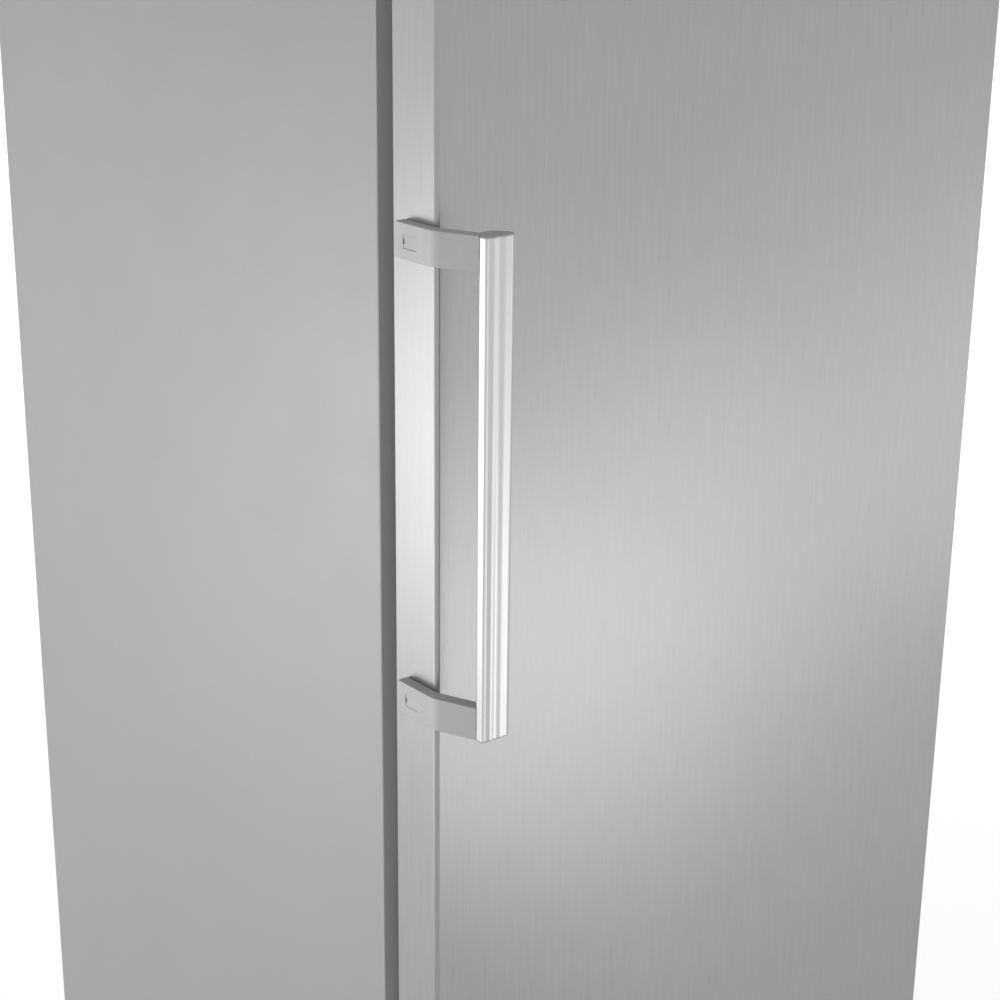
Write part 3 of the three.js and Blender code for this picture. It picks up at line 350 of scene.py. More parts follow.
def on_level(axis, level, rule=all):
    """A test for edges that lie on a plane, or with rule=any for those that touch it."""
    return lambda edge: rule(abs(vert.co[axis] - level) < SAME for vert in edge.verts)


def soften(bm, width, segments=2, angle=40.0, keep=lambda edge: True):
    """Rounds every edge sharper than the angle that keep lets through."""
    sharp = [e for e in bm.edges if len(e.link_faces) == 2
             and e.calc_face_angle(0.0) > math.radians(angle) and keep(e)]
    bmesh.ops.bevel(bm, geom=sharp, offset=width, segments=segments, profile=0.5,
                    affect="EDGES", clamp_overlap=True)
    return bm


def loft(loops, closed=False):
    """A bmesh skin over loops of equal length; closed joins the last loop to the first."""
    bm = bmesh.new()
    rings = [[bm.verts.new(p) for p in loop] for loop in loops]
    count = len(rings[0])
    pairs = list(zip(rings, rings[1:])) + ([(rings[-1], rings[0])] if closed else [])
    for a, b in pairs:
        for i in range(count):
            j = (i + 1) % count
            bm.faces.new((a[i], a[j], b[j], b[i]))
    if not closed:
        bm.faces.new(rings[0])
        bm.faces.new(rings[-1])
    bmesh.ops.recalc_face_normals(bm, faces=bm.faces)
    return bm


def merge(*parts):
    """One bmesh holding separate closed forms."""
    whole = bmesh.new()
    for part in parts:
        mesh = bpy.data.meshes.new("part")
        part.to_mesh(mesh)
        part.free()
        whole.from_mesh(mesh)
        bpy.data.meshes.remove(mesh)
    return whole


def loose_object(name, bm):
    mesh = bpy.data.meshes.new(name)
    bm.to_mesh(mesh)
    bm.free()
    obj = bpy.data.objects.new(name, mesh)
    bpy.context.scene.collection.objects.link(obj)
    return obj


def discard(obj):
    mesh = obj.data
    bpy.data.objects.remove(obj)
    bpy.data.meshes.remove(mesh)


def taken(obj):
    """The object's mesh as a bmesh; the object itself goes."""
    bm = bmesh.new()
    bm.from_mesh(obj.data)
    discard(obj)
    return bm


def settle(obj, drop=()):
    """The object's mesh with its modifiers applied; drop lists helper objects to remove."""
    bpy.context.view_layer.update()
    graph = bpy.context.evaluated_depsgraph_get()
    mesh = bpy.data.meshes.new_from_object(obj.evaluated_get(graph))
    obj.modifiers.clear()
    old, obj.data = obj.data, mesh
    bpy.data.meshes.remove(old)
    for helper in drop:
        discard(helper)
    return obj


def combined(bm, others, operation):
    """The bmesh after one exact boolean step with each of the others."""
    obj = loose_object("combined", bm)
    helpers = [loose_object("helper", other) for other in others]
    for helper in helpers:
        modifier = obj.modifiers.new("combine", "BOOLEAN")
        modifier.operation = operation
        modifier.solver = "EXACT"
        modifier.object = helper
    return taken(settle(obj, helpers))


def carve(bm, *cutters):
    """The bmesh with the cutters' volumes taken away."""
    return combined(bm, cutters, "DIFFERENCE")


def weld(bm, *others):
    """One solid of overlapping ones."""
    return combined(bm, others, "UNION")


def tube(points, radius, sides=12, closed=False):
    """A round pipe through the points, its ends closed unless it joins up."""
    count = len(points)
    points = [Vector(p) for p in points]
    rings = []
    up = Vector((0.0, 0.0, 1.0))
    for i, point in enumerate(points):
        before = points[i - 1] if i or closed else point
        after = points[(i + 1) % count] if i + 1 < count or closed else point
        heading = (after - before).normalized()
        side = heading.cross(up)
        if side.length < ALIGNED:
            side = heading.cross(Vector((0.0, 1.0, 0.0)))
        side.normalize()
        up = side.cross(heading).normalized()
        turns = [2 * math.pi * k / sides for k in range(sides)]
        rings.append([point + radius * (math.cos(a) * side + math.sin(a) * up) for a in turns])
    return loft(rings, closed)


def turned(profile, centre, axis="z", segments=48):
    """A bmesh turned from (radius, height) pairs that start and end on the axis."""
    place = {"z": PLACE["plan"], "y": PLACE["front"], "x": PLACE["side"]}[axis]
    bm = bmesh.new()
    angles = [2 * math.pi * i / segments for i in range(segments)]
    rings = []
    for radius, height in profile:
        turns = angles if radius > SAME else angles[:1]
        spots = [place(radius * math.cos(a), radius * math.sin(a), height) for a in turns]
        rings.append([bm.verts.new(Vector(centre) + Vector(spot)) for spot in spots])
    for a, b in zip(rings, rings[1:]):
        for i in range(segments):
            j = (i + 1) % segments
            corners = (a[i % len(a)], a[j % len(a)], b[j % len(b)], b[i % len(b)])
            loop = list(dict.fromkeys(corners))
            if len(loop) > 2:
                bm.faces.new(loop)
    bmesh.ops.recalc_face_normals(bm, faces=bm.faces)
    return bm


def slab(x, y, z, radius, segments=3):
    """A bmesh box with round edges between three pairs of low and high."""
    return soften(block(*zip(x, y, z)), radius, segments)


# ------------------------------------------------------------------ repeated forms

TREES = {}


def tree_for(name, inputs):
    """An empty geometry tree with its inputs, and its input and output nodes."""
    tree = bpy.data.node_groups.new(name, "GeometryNodeTree")
    tree.interface.new_socket("Geometry", in_out="INPUT", socket_type="NodeSocketGeometry")
    for label, kind in inputs:
        tree.interface.new_socket(label, in_out="INPUT", socket_type=kind)
    tree.interface.new_socket("Geometry", in_out="OUTPUT", socket_type="NodeSocketGeometry")
    TREES[name] = tree
    return tree, tree.nodes.new("NodeGroupInput"), tree.nodes.new("NodeGroupOutput")


def end_tree(tree, given, result, instances):
    """Realises the instances and sets their material."""
    real = tree.nodes.new("GeometryNodeRealizeInstances")
    coat = tree.nodes.new("GeometryNodeSetMaterial")
    tree.links.new(instances, real.inputs["Geometry"])
    tree.links.new(real.outputs["Geometry"], coat.inputs["Geometry"])
    tree.links.new(given.outputs["Material"], coat.inputs["Material"])
    tree.links.new(coat.outputs["Geometry"], result.inputs["Geometry"])
    return tree


def row_tree():
    """Copies of a shape in a straight row."""
    if "row" in TREES:
        return TREES["row"]
    tree, given, result = tree_for("row", [
        ("Count", "NodeSocketInt"), ("Step", "NodeSocketVector"), ("Material", "NodeSocketMaterial")])
    line = tree.nodes.new("GeometryNodeMeshLine")
    line.mode = "OFFSET"
    copies = tree.nodes.new("GeometryNodeInstanceOnPoints")
    tree.links.new(given.outputs["Count"], line.inputs["Count"])
    tree.links.new(given.outputs["Step"], line.inputs["Offset"])
    tree.links.new(line.outputs["Mesh"], copies.inputs["Points"])
    tree.links.new(given.outputs["Geometry"], copies.inputs["Instance"])
    return end_tree(tree, given, result, copies.outputs["Instances"])


def ring_tree():
    """Copies of a shape turned about an axis."""
    if "ring" in TREES:
        return TREES["ring"]
    tree, given, result = tree_for("ring", [
        ("Count", "NodeSocketInt"), ("Centre", "NodeSocketVector"), ("Turn", "NodeSocketVector"),
        ("Material", "NodeSocketMaterial")])
    line = tree.nodes.new("GeometryNodeMeshLine")
    line.mode = "OFFSET"
    line.inputs["Offset"].default_value = (0.0, 0.0, 0.0)
    back = tree.nodes.new("ShaderNodeVectorMath")
    back.operation = "SCALE"
    back.inputs["Scale"].default_value = -1.0
    centred = tree.nodes.new("GeometryNodeTransform")
    index = tree.nodes.new("GeometryNodeInputIndex")
    turn = tree.nodes.new("ShaderNodeVectorMath")
    turn.operation = "SCALE"
    rotation = tree.nodes.new("FunctionNodeEulerToRotation")
    copies = tree.nodes.new("GeometryNodeInstanceOnPoints")
    tree.links.new(given.outputs["Count"], line.inputs["Count"])
    tree.links.new(given.outputs["Centre"], line.inputs["Start Location"])
    tree.links.new(given.outputs["Centre"], back.inputs[0])
    tree.links.new(given.outputs["Geometry"], centred.inputs["Geometry"])
    tree.links.new(back.outputs[0], centred.inputs["Translation"])
    tree.links.new(given.outputs["Turn"], turn.inputs[0])
    tree.links.new(index.outputs[0], turn.inputs["Scale"])
    tree.links.new(turn.outputs[0], rotation.inputs["Euler"])
    tree.links.new(line.outputs["Mesh"], copies.inputs["Points"])
    tree.links.new(centred.outputs["Geometry"], copies.inputs["Instance"])
    tree.links.new(rotation.outputs["Rotation"], copies.inputs["Rotation"])
    return end_tree(tree, given, result, copies.outputs["Instances"])


def points_tree():
    """Copies of another object's shape on the points of the mesh."""
    if "points" in TREES:
        return TREES["points"]
    tree, given, result = tree_for("points", [
        ("Shape", "NodeSocketObject"), ("Material", "NodeSocketMaterial")])
    shape = tree.nodes.new("GeometryNodeObjectInfo")
    copies = tree.nodes.new("GeometryNodeInstanceOnPoints")
    tree.links.new(given.outputs["Shape"], shape.inputs["Object"])
    tree.links.new(given.outputs["Geometry"], copies.inputs["Points"])
    tree.links.new(shape.outputs["Geometry"], copies.inputs["Instance"])
    return end_tree(tree, given, result, copies.outputs["Instances"])


def repeated(bm, tree, drop=(), **values):
    """The bmesh that a tree makes of the given one."""
    obj = loose_object("repeated", bm)
    modifier = obj.modifiers.new("copies", "NODES")
    modifier.node_group = tree
    for socket in tree.interface.items_tree:
        if socket.in_out == "INPUT" and socket.name.lower() in values:
            modifier[socket.identifier] = values[socket.name.lower()]
    return taken(settle(obj, drop))


def row(bm, count, step, maker):
    """Copies in a straight row, each one step on from the last."""
    return repeated(bm, row_tree(), count=count, step=step, material=finish(maker))


def ring(bm, count, centre, axis, maker):
    """Copies turned evenly about an axis through the centre."""
    turn = [2 * math.pi / count * a for a in axis]
    return repeated(bm, ring_tree(), count=count, centre=centre, turn=turn, material=finish(maker))


def bars(x, y, z, wide, radius, count, maker, segments=2):
    """Upright bars of one width, spread evenly from one end of x to the other."""
    bar = slab((x[0], x[0] + wide), y, z, radius, segments)
    return row(bar, count, ((x[1] - x[0] - wide) / (count - 1), 0, 0), maker)


def on_points(bm, points, maker):
    """Copies of a bmesh drawn about the origin, on each point."""
    shape = loose_object("shape", bm)
    cloud = bmesh.new()
    for point in points:
        cloud.verts.new(point)
    return repeated(cloud, points_tree(), (shape,), shape=shape, material=finish(maker))


def piece(name, bm, maker, body, *replaced, angle=35.0):
    """A finished object: smooth where it curves, flat where it is flat, riding on its body."""
    obj = loose_object(name, bm)
    mesh = obj.data
    mesh.materials.clear()
    mesh.materials.append(finish(maker))
    for polygon in mesh.polygons:
        polygon.material_index = 0
    mesh.shade_smooth()
    mesh.set_sharp_from_angle(angle=math.radians(angle))
    weighted = obj.modifiers.new("weighted_normals", "WEIGHTED_NORMAL")
    weighted.keep_sharp = True
    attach(obj, body)
    if replaced:
        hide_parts(*replaced)
    return obj


def dress(maker, *nodes):
    """Gives CAD nodes that keep their own shape a finish."""
    for node in nodes:
        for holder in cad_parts[node].material_slots:
            holder.material = finish(maker)


# ------------------------------------------------------------------ finishes


class Finish:
    """A material with short calls for the nodes that its finish needs."""

    def __init__(self, name, colour, roughness, metallic=0.0):
        self.material = bpy.data.materials.new(name)
        self.material.use_nodes = True
        self.tree = self.material.node_tree
        self.shader = self.tree.nodes["Principled BSDF"]
        self.colour = tuple(colour)[:3]
        self.set("Base Color", (*self.colour, 1.0))
        self.set("Roughness", roughness)
        self.set("Metallic", metallic)
        self.coordinates = self.tree.nodes.new("ShaderNodeTexCoord").outputs["Object"]
        self.normal = None

    def set(self, socket, value):
        self.shader.inputs[socket].default_value = value

    def link(self, source, target):
        self.tree.links.new(source, target)

    def noise(self, scale, stretch=(1.0, 1.0, 1.0), detail=3.0):
        """Noise on object coordinates; scale is cells to the metre, stretch is per axis."""
        mapping = self.tree.nodes.new("ShaderNodeMapping")
        mapping.inputs["Scale"].default_value = [scale * s for s in stretch]
        self.link(self.coordinates, mapping.inputs["Vector"])
        noise = self.tree.nodes.new("ShaderNodeTexNoise")
        noise.inputs["Scale"].default_value = 1.0
        noise.inputs["Detail"].default_value = detail
        self.link(mapping.outputs["Vector"], noise.inputs["Vector"])
        return noise.outputs["Fac"]

    def cells(self, scale, feature="F1"):
        voronoi = self.tree.nodes.new("ShaderNodeTexVoronoi")
        voronoi.feature = feature
        voronoi.inputs["Scale"].default_value = scale
        self.link(self.coordinates, voronoi.inputs["Vector"])
        return voronoi

    def spread(self, factor, low, high, start=0.3, end=0.7):
        """Maps a factor to the range low to high."""
        remap = self.tree.nodes.new("ShaderNodeMapRange")
        for socket, value in (("From Min", start), ("From Max", end), ("To Min", low), ("To Max", high)):
            remap.inputs[socket].default_value = value
        self.link(factor, remap.inputs["Value"])
        return remap.outputs["Result"]

    def shade(self, *factors):
        """Multiplies the base colour by each factor."""
        socket = None
        for factor in factors:
            mix = self.tree.nodes.new("ShaderNodeMix")
            mix.data_type = "RGBA"
            mix.blend_type = "MULTIPLY"
            mix.inputs["Factor"].default_value = 1.0
            if socket is None:
                mix.inputs["A"].default_value = (*self.colour, 1.0)
            else:
                self.link(socket, mix.inputs["A"])
            self.link(factor, mix.inputs["B"])
            socket = mix.outputs["Result"]
        self.link(socket, self.shader.inputs["Base Color"])
        return self

    def rough(self, factor):
        self.link(factor, self.shader.inputs["Roughness"])
        return self

    def bump(self, height, depth, strength=1.0):
        node = self.tree.nodes.new("ShaderNodeBump")
        node.inputs["Strength"].default_value = strength
        node.inputs["Distance"].default_value = depth
        self.link(height, node.inputs["Height"])
        if self.normal is not None:
            self.link(self.normal, node.inputs["Normal"])
        self.normal = node.outputs["Normal"]
        self.link(self.normal, self.shader.inputs["Normal"])
        return self


def side_paint():
    """Silver paint, with painted light on the cabinet's front edges: faces at the front are made lighter than
    the sides, standing in for light in the shaded gap beside the door.
    """
    f = Finish("side_paint", colours().side_paint, 0.45, 0.4)
    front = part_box("side_panel_left")[0].y
    split = f.tree.nodes.new("ShaderNodeSeparateXYZ")
    f.link(f.coordinates, split.inputs[0])
    # Painted light: colour on the front-facing flange is raised to stand in for bounce light that the lamps
    # don't bring into the shaded gap beside the door.
    painted_light_front = f.spread(split.outputs["Y"], 1.7, 1.0, front + 0.0002, front + 0.0014)
    cloud = f.spread(f.noise(5.0), 0.985, 1.015)
    grain = f.spread(f.noise(900.0, detail=1.0), 0.985, 1.015)
    f.shade(painted_light_front, cloud, grain)
    f.rough(f.spread(f.noise(14.0), 0.43, 0.47))
    f.bump(f.noise(700.0, detail=2.0), 0.00003, 0.25)
    return f.material


def brushed_steel():
    """The door's front: steel brushed upright, fine and coarse strokes together."""
    f = Finish("brushed_steel", colours().brushed_steel, 0.32, 0.8)
    fine = f.noise(1500.0, (1.0, 1.0, 0.02), 4.0)
    coarse = f.noise(420.0, (1.0, 1.0, 0.035), 3.0)
    f.shade(f.spread(fine, 0.96, 1.03), f.spread(coarse, 0.97, 1.03), f.spread(f.noise(4.0), 0.985, 1.015))
    f.rough(f.spread(coarse, 0.30, 0.34))
    f.bump(fine, 0.0001, 0.5)
    return f.material


def arm_paint():
    f = Finish("arm_paint", colours().arm_paint, 0.42, 0.25)
    f.shade(f.spread(f.noise(40.0), 0.98, 1.02), f.spread(f.noise(1800.0, detail=1.0), 0.98, 1.02))
    f.rough(f.spread(f.noise(60.0), 0.38, 0.46))
    f.bump(f.noise(2200.0, detail=2.0), 0.00002, 0.3)
    return f.material


def grip_metal():
    f = Finish("grip_metal", colours().grip_metal, 0.32, 0.85)
    fine = f.noise(2600.0, (1.0, 1.0, 0.008), 3.0)
    f.shade(f.spread(fine, 0.97, 1.02), f.spread(f.noise(9.0), 0.99, 1.01))
    f.rough(f.spread(f.noise(700.0, (1.0, 1.0, 0.02)), 0.29, 0.35))
    f.bump(fine, 0.00001, 0.3)
    return f.material


def zinc_steel():
    f = Finish("zinc_steel", colours().zinc_steel, 0.42, 0.75)
    spangle = f.spread(f.cells(70.0).outputs["Color"], 0.86, 1.08, 0.0, 1.0)
    f.shade(spangle, f.spread(f.noise(9.0), 0.97, 1.03))
    f.rough(f.spread(f.noise(120.0), 0.36, 0.5))
    f.bump(f.noise(900.0), 0.00002, 0.3)
    return f.material


def black_paint():
    f = Finish("black_paint", colours().black_paint, 0.38)
    f.shade(f.spread(f.noise(30.0), 0.85, 1.2))
    f.rough(f.spread(f.noise(160.0), 0.32, 0.46))
    f.bump(f.noise(1100.0, detail=2.0), 0.00005, 0.4)
    return f.material


def copper():
    f = Finish("copper", colours().copper, 0.32, 1.0)
    f.shade(f.spread(f.noise(60.0), 0.8, 1.05), f.spread(f.noise(700.0), 0.94, 1.04))
    f.rough(f.spread(f.noise(90.0), 0.26, 0.45))
    f.bump(f.noise(1500.0), 0.00001, 0.3)
    return f.material


def bare_aluminium():
    f = Finish("bare_aluminium", colours().bare_aluminium, 0.36, 1.0)
    f.shade(f.spread(f.noise(40.0), 0.9, 1.03), f.spread(f.noise(1200.0, (1.0, 1.0, 0.1)), 0.95, 1.03))
    f.rough(f.spread(f.noise(200.0), 0.3, 0.44))
    f.bump(f.noise(1200.0, (1.0, 1.0, 0.1)), 0.00001, 0.3)
    return f.material


def moulded(name, colour, roughness, grain, depth):
    """A moulded plastic or rubber with a fine grain in its surface."""
    f = Finish(name, colour, roughness)
    f.shade(f.spread(f.noise(7.0), 0.98, 1.015), f.spread(f.noise(grain, detail=1.0), 0.97, 1.03))
    f.rough(f.spread(f.noise(50.0), roughness * 0.88, min(1.0, roughness * 1.12)))
    f.bump(f.cells(grain).outputs["Distance"], depth, 0.35)
    return f


def liner_plastic():
    f = moulded("liner_plastic", colours().liner_plastic, 0.36, 900.0, 0.00002)
    f.set("Specular IOR Level", 0.45)
    return f.material


def grey_plastic():
    return moulded("grey_plastic", colours().grey_plastic, 0.5, 1400.0, 0.00004).material


def dark_plastic():
    return moulded("dark_plastic", colours().dark_plastic, 0.48, 1400.0, 0.00004).material


def gasket_rubber():
    return moulded("gasket_rubber", colours().gasket_rubber, 0.72, 1800.0, 0.00003).material


def light_plastic():
    f = moulded("light_plastic", colours().light_plastic, 0.34, 1200.0, 0.00001)
    f.set("Subsurface Weight", 0.15)
    f.set("Subsurface Radius", (0.004, 0.004, 0.004))
    return f.material


def display_plastic():
    f = Finish("display_plastic", colours().dark_plastic, 0.12)
    f.shade(f.spread(f.noise(30.0), 0.7, 1.1))
    f.rough(f.spread(f.noise(400.0), 0.09, 0.16))
    f.set("Coat Weight", 0.5)
    f.set("Coat Roughness", 0.06)
    return f.material


def foam():
    f = Finish("foam", colours().foam, 0.92)
    patches = f.spread(f.noise(25.0), 0.9, 1.06)
    f.shade(patches, f.spread(f.cells(600.0).outputs["Distance"], 0.85, 1.05, 0.0, 0.6))
    f.bump(f.cells(500.0).outputs["Distance"], 0.0004, 0.6)
    return f.material


def see_through(name, colour, roughness, share):
    """A clear sheet: partly see-through, so what is behind it stays plain to see."""
    f = Finish(name, colour, roughness)
    f.rough(f.spread(f.noise(30.0), roughness * 0.8, roughness * 1.25))
    f.bump(f.noise(60.0, detail=1.0), 0.0001, 0.15)
    f.set("IOR", 1.49)
    clear = f.tree.nodes.new("ShaderNodeBsdfTransparent")
    clear.inputs["Color"].default_value = (0.955, 0.97, 0.975, 1.0)
    mix = f.tree.nodes.new("ShaderNodeMixShader")
    f.link(f.spread(f.noise(12.0), share * 0.95, share * 1.05), mix.inputs[0])
    f.link(f.shader.outputs[0], mix.inputs[1])
    f.link(clear.outputs[0], mix.inputs[2])
    f.link(mix.outputs[0], f.tree.nodes["Material Output"].inputs["Surface"])
    return f.material


def clear_plastic():
    return see_through("clear_plastic", colours().clear_plastic, 0.14, 0.80)


def glass():
    return see_through("glass", colours().glass, 0.06, 0.84)


FINISHES = {}


def finish(maker):
    """Each finish is made once and shared."""
    if maker.__name__ not in FINISHES:
        FINISHES[maker.__name__] = maker()
    return FINISHES[maker.__name__]


def sizes():
    return bpy.context.scene.freezer_sizes


def colours():
    return bpy.context.scene.freezer_colours


# ------------------------------------------------------------------ door


def hinge_axis():
    """The hinge pin's place in plan."""
    s = sizes()
    low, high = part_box("door_panel")
    return high.x - s.hinge_inset, low.y + s.hinge_setback


def door_plan(x, y, s):
    """The door's outline in plan, with round front corners and folded back ones."""
    front, back = s.door_corner, s.skin_fold
    return (arc(x[1] - front, y[0] + front, front, -90, 0, 10) + arc(x[1] - back, y[1] - back, back, 0, 90, 5)
            + arc(x[0] + back, y[1] - back, back, 90, 180, 5)
            + arc(x[0] + front, y[0] + front, front, 180, 270, 10))


class FREEZER_OT_door_skin(bpy.types.Operator):
    """Folded brushed steel skin of the door"""

    bl_idname = "freezer.door_skin"
    bl_label = "Door Skin"

    def execute(self, context):
        s = sizes()
        low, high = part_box("door_panel")
        middle, half = (low.x + high.x) / 2, (high.x - low.x) / 2
        front, back, t = s.door_corner, s.skin_fold, s.sheet
        outside = (arc(half - front, low.y + front, front, -90, 0, 12)
                   + arc(half - back, high.y - back, back, 0, 90, 6) + [(half - s.door_return, high.y)])
        inside = ([(half - s.door_return, high.y - t)]
                  + arc(half - back, high.y - back, back - t, 90, 0, 6)
                  + arc(half - front, low.y + front, front - t, 0, -90, 12))
        outline = outside + inside + flipped(inside) + flipped(outside)
        bm = prism(shifted(outline, middle), low.z, high.z)
        piece("door_skin", bm, brushed_steel, DOOR, "door_panel")
        return {"FINISHED"}


class FREEZER_OT_door_caps(bpy.types.Operator):
    """Moulded caps on the door's top and bottom"""

    bl_idname = "freezer.door_caps"
    bl_label = "Door Caps"

    def execute(self, context):
        s = sizes()
        axis_x, axis_y = hinge_axis()
        side, end = s.cap_tray, s.cap_tray * 0.6
        for word in ("top", "bottom"):
            x, y, z = spans(f"door_{word}_cap")
            face = z[1] if word == "top" else z[0]
            bm = prism(door_plan(x, y, s), *z)
            soften(bm, s.edge_round * 1.5, 3, keep=on_level(2, face))
            bed = slab((x[0] + side, axis_x - side), inset(y, end),
                       (face - s.cap_depth, face + s.cap_depth), s.edge_round)
            bore = prism(circle(axis_x, axis_y, s.hinge_bore), *inset(z, -s.past))
            piece(f"door_cap_{word}", carve(bm, bed, bore), grey_plastic, DOOR, f"door_{word}_cap")
        return {"FINISHED"}


# The door seal's section, folds and magnet: millimetres in from its outline, and back from its front.
SEAL_PROFILE = (
    (4, 0), (4, 3), (1.5, 4.5), (0, 7), (1.5, 9.5), (3.2, 11), (1, 12.2), (0.3, 14), (0.3, 18),
    (0.9, 18.6), (19, 18.6), (19.6, 18), (19.6, 14.2), (19, 13.4), (15, 12.6), (13.5, 10.5),
    (16, 8), (16.6, 5.5), (15, 3.4), (12.5, 2.6), (12.5, 0),
)


class FREEZER_OT_door_inside(bpy.types.Operator):
    """Moulded liner, magnetic seal and foam of the door"""

    bl_idname = "freezer.door_inside"
    bl_label = "Door Liner and Seal"

    def execute(self, context):
        s = sizes()
        x, y, z = spans("door_liner")
        door_low, door_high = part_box("door_bottom_cap")[0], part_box("door_top_cap")[1]
        dyke_x = inset((door_low.x, door_high.x), s.dyke_inset)
        dyke_z = inset((door_low.z, door_high.z), s.dyke_inset)
        wall, rim, top, fold = s.moulding, y[0] + s.moulding, y[1], s.dyke_fold

        def dyke(margin, level):
            return wall_loop(inset(dyke_x, margin), inset(dyke_z, margin), s.dyke_corner - margin / 3, level)

        def rounded(margin, level, radius, start, end):
            return [dyke(margin + u, level + v) for u, v in arc(0, 0, radius, start, end, 5)]

        border, step, edge = s.dyke_border, s.field_sink, s.liner_edge
        loops = [dyke(wall, top - step - wall / 3), dyke(wall, y[0])]
        loops += [wall_loop(x, z, edge, y[0]), wall_loop(x, z, edge, rim)]
        loops += rounded(-fold, rim + fold, fold, -90, 0)
        loops += rounded(fold, top - fold, fold, 180, 90)
        loops += rounded(border, top - step / 2, step / 2, 90, 0)
        loops += rounded(border + step, top - step / 2, step / 2, 180, 270)
        piece("door_inner", loft(loops), liner_plastic, DOOR, "door_liner")

        x, y, z = spans("door_gasket")
        loops = [wall_loop(inset(x, u), inset(z, u), s.seal_corner - u / 10, level)
                 for u, level in placed(SEAL_PROFILE, up=y[0])]
        piece("door_seal", loft(loops, closed=True), gasket_rubber, DOOR, "door_gasket", angle=60.0)
        dress(foam, "door_foam")
        return {"FINISHED"}


# ------------------------------------------------------------------ handle


def direction(degrees):
    """Plan direction, from straight ahead (-Y) towards the door's middle (+X)."""
    turn = math.radians(degrees)
    return Vector((math.sin(turn), -math.cos(turn)))


def arm_plan(h, outer, inner):
    """Arm from above, from the door's front left corner; also its two ends at the grip."""
    bend = math.degrees(h.bend)
    inside = arc(h.inner_radius - inner, -h.inner_bend, h.inner_radius, 180, 180 + bend, 8)
    outside = arc(h.outer_radius - outer, -h.outer_bend, h.outer_radius, 180 + bend, 180, 12)
    along_arm = direction(bend)
    across = Vector((math.sin(h.end_cut), math.cos(h.end_cut)))
    outer_end = Vector(outside[0]) + along_arm * h.slant
    start = Vector(inside[-1])
    inner_end = start + along_arm * ((outer_end - start).cross(across) / along_arm.cross(across))
    outline = [(-inner, h.back), *inside, tuple(inner_end), tuple(outer_end), *outside, (-outer, h.back)]
    return outline, inner_end, outer_end


# Crests and valleys of the grip's front: millimetres from its left side and below its highest crest.
GRIP_FLUTES = ((1.3, 0.7), (2.8, 1.0), (7.0, 0.0), (11.9, 0.65), (17.0, 0.0))


def wave(a, b, steps=12):
    """Points after a up to b on half a cosine wave, level at both ends."""
    shares = [i / steps for i in range(1, steps + 1)]
    return [(a[0] + (b[0] - a[0]) * t, a[1] + (b[1] - a[1]) * (1 - math.cos(math.pi * t)) / 2)
            for t in shares]


def bulge(start, end, height, steps=16):
    """Points between start and end on a curve that stands the height out to the right of its line."""
    across = end - start
    pull = (start + end) / 2 + Vector((-across.y, across.x)).normalized() * -2 * height
    shares = [i / steps for i in range(1, steps)]
    return [tuple(start * (1 - t) ** 2 + pull * (2 * t * (1 - t)) + end * t * t) for t in shares]


def grip_plan(h, inner_end, outer_end):
    """Bar from above: a small nose, two shallow ribs in front and a bulging back."""
    push = Vector((math.cos(h.end_cut), -math.sin(h.end_cut))) * h.fit
    seat_left, seat_right = outer_end + push, inner_end + push
    nose, r, side = h.grip_nose, h.grip_radius, seat_left.x - h.overhang
    spots = placed(GRIP_FLUTES, side, -h.grip_front)
    spots.append((h.grip_right - r, h.grip_drop - h.grip_front))
    left = arc(side + nose, spots[0][1] + nose, nose, 180, 270, 10)
    front = [point for a, b in zip(spots, spots[1:]) for point in wave(a, b)]
    right = arc(spots[-1][0], spots[-1][1] + r, r, 270, 415, 24)[1:]
    back = bulge(Vector(right[-1]), seat_right, h.grip_bulge)
    return [tuple(seat_right), tuple(seat_left), *left, *front, *right, *back]


class FREEZER_OT_handle(bpy.types.Operator):
    """Two arms with screw covers and the ribbed bar between them"""

    bl_idname = "freezer.handle"
    bl_label = "Handle"

    def execute(self, context):
        h = context.scene.freezer_handle
        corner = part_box("door_panel")[0]
        outer = corner.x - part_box("handle_arm_upper")[0].x
        plan, inner_end, outer_end = arm_plan(h, outer, h.fit)
        plan = shifted(plan, corner.x, corner.y)
        bar = shifted(grip_plan(h, inner_end, outer_end), corner.x, corner.y)
        for word in ("upper", "lower"):
            low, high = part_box(f"handle_arm_{word}")
            cap_low, cap_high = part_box(f"arm_cap_{word}")
            arm = soften(prism(plan, low.z, high.z), h.edge, 3)
            line = h.parting
            seat = block((low.x - h.cut, cap_low.y, cap_low.z - line),
                         (cap_high.x + h.fit, cap_high.y + line, cap_high.z + line / 4))
            piece(f"arm_{word}", carve(arm, seat), arm_paint, DOOR, f"handle_arm_{word}")
            middle, half = (cap_low.z + cap_high.z) / 2, h.slot_height / 2
            cover = block((cap_low.x + h.cover_sink, cap_low.y, cap_low.z), cap_high)
            slot = block((cap_low.x - h.cut, cap_high.y - h.slot_width, middle - half),
                         (cap_high.x - h.slot_floor, cap_high.y + h.cut, middle + half))
            piece(f"cover_{word}", carve(cover, slot), arm_paint, DOOR, f"arm_cap_{word}")
        low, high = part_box("handle_grip")
        end = h.grip_end
        grip = soften(prism(bar, low.z + end, high.z - end), h.parting / 4, 2)
        piece("grip", grip, grip_metal, DOOR, "handle_grip", angle=30.0)
        for word, z in (("lower", low.z), ("upper", high.z - end)):
            plate = soften(prism(bar, z, z + end), h.edge / 2, 2)
            piece(f"grip_end_{word}", plate, arm_paint, DOOR)
        return {"FINISHED"}


# ------------------------------------------------------------------ cabinet shell


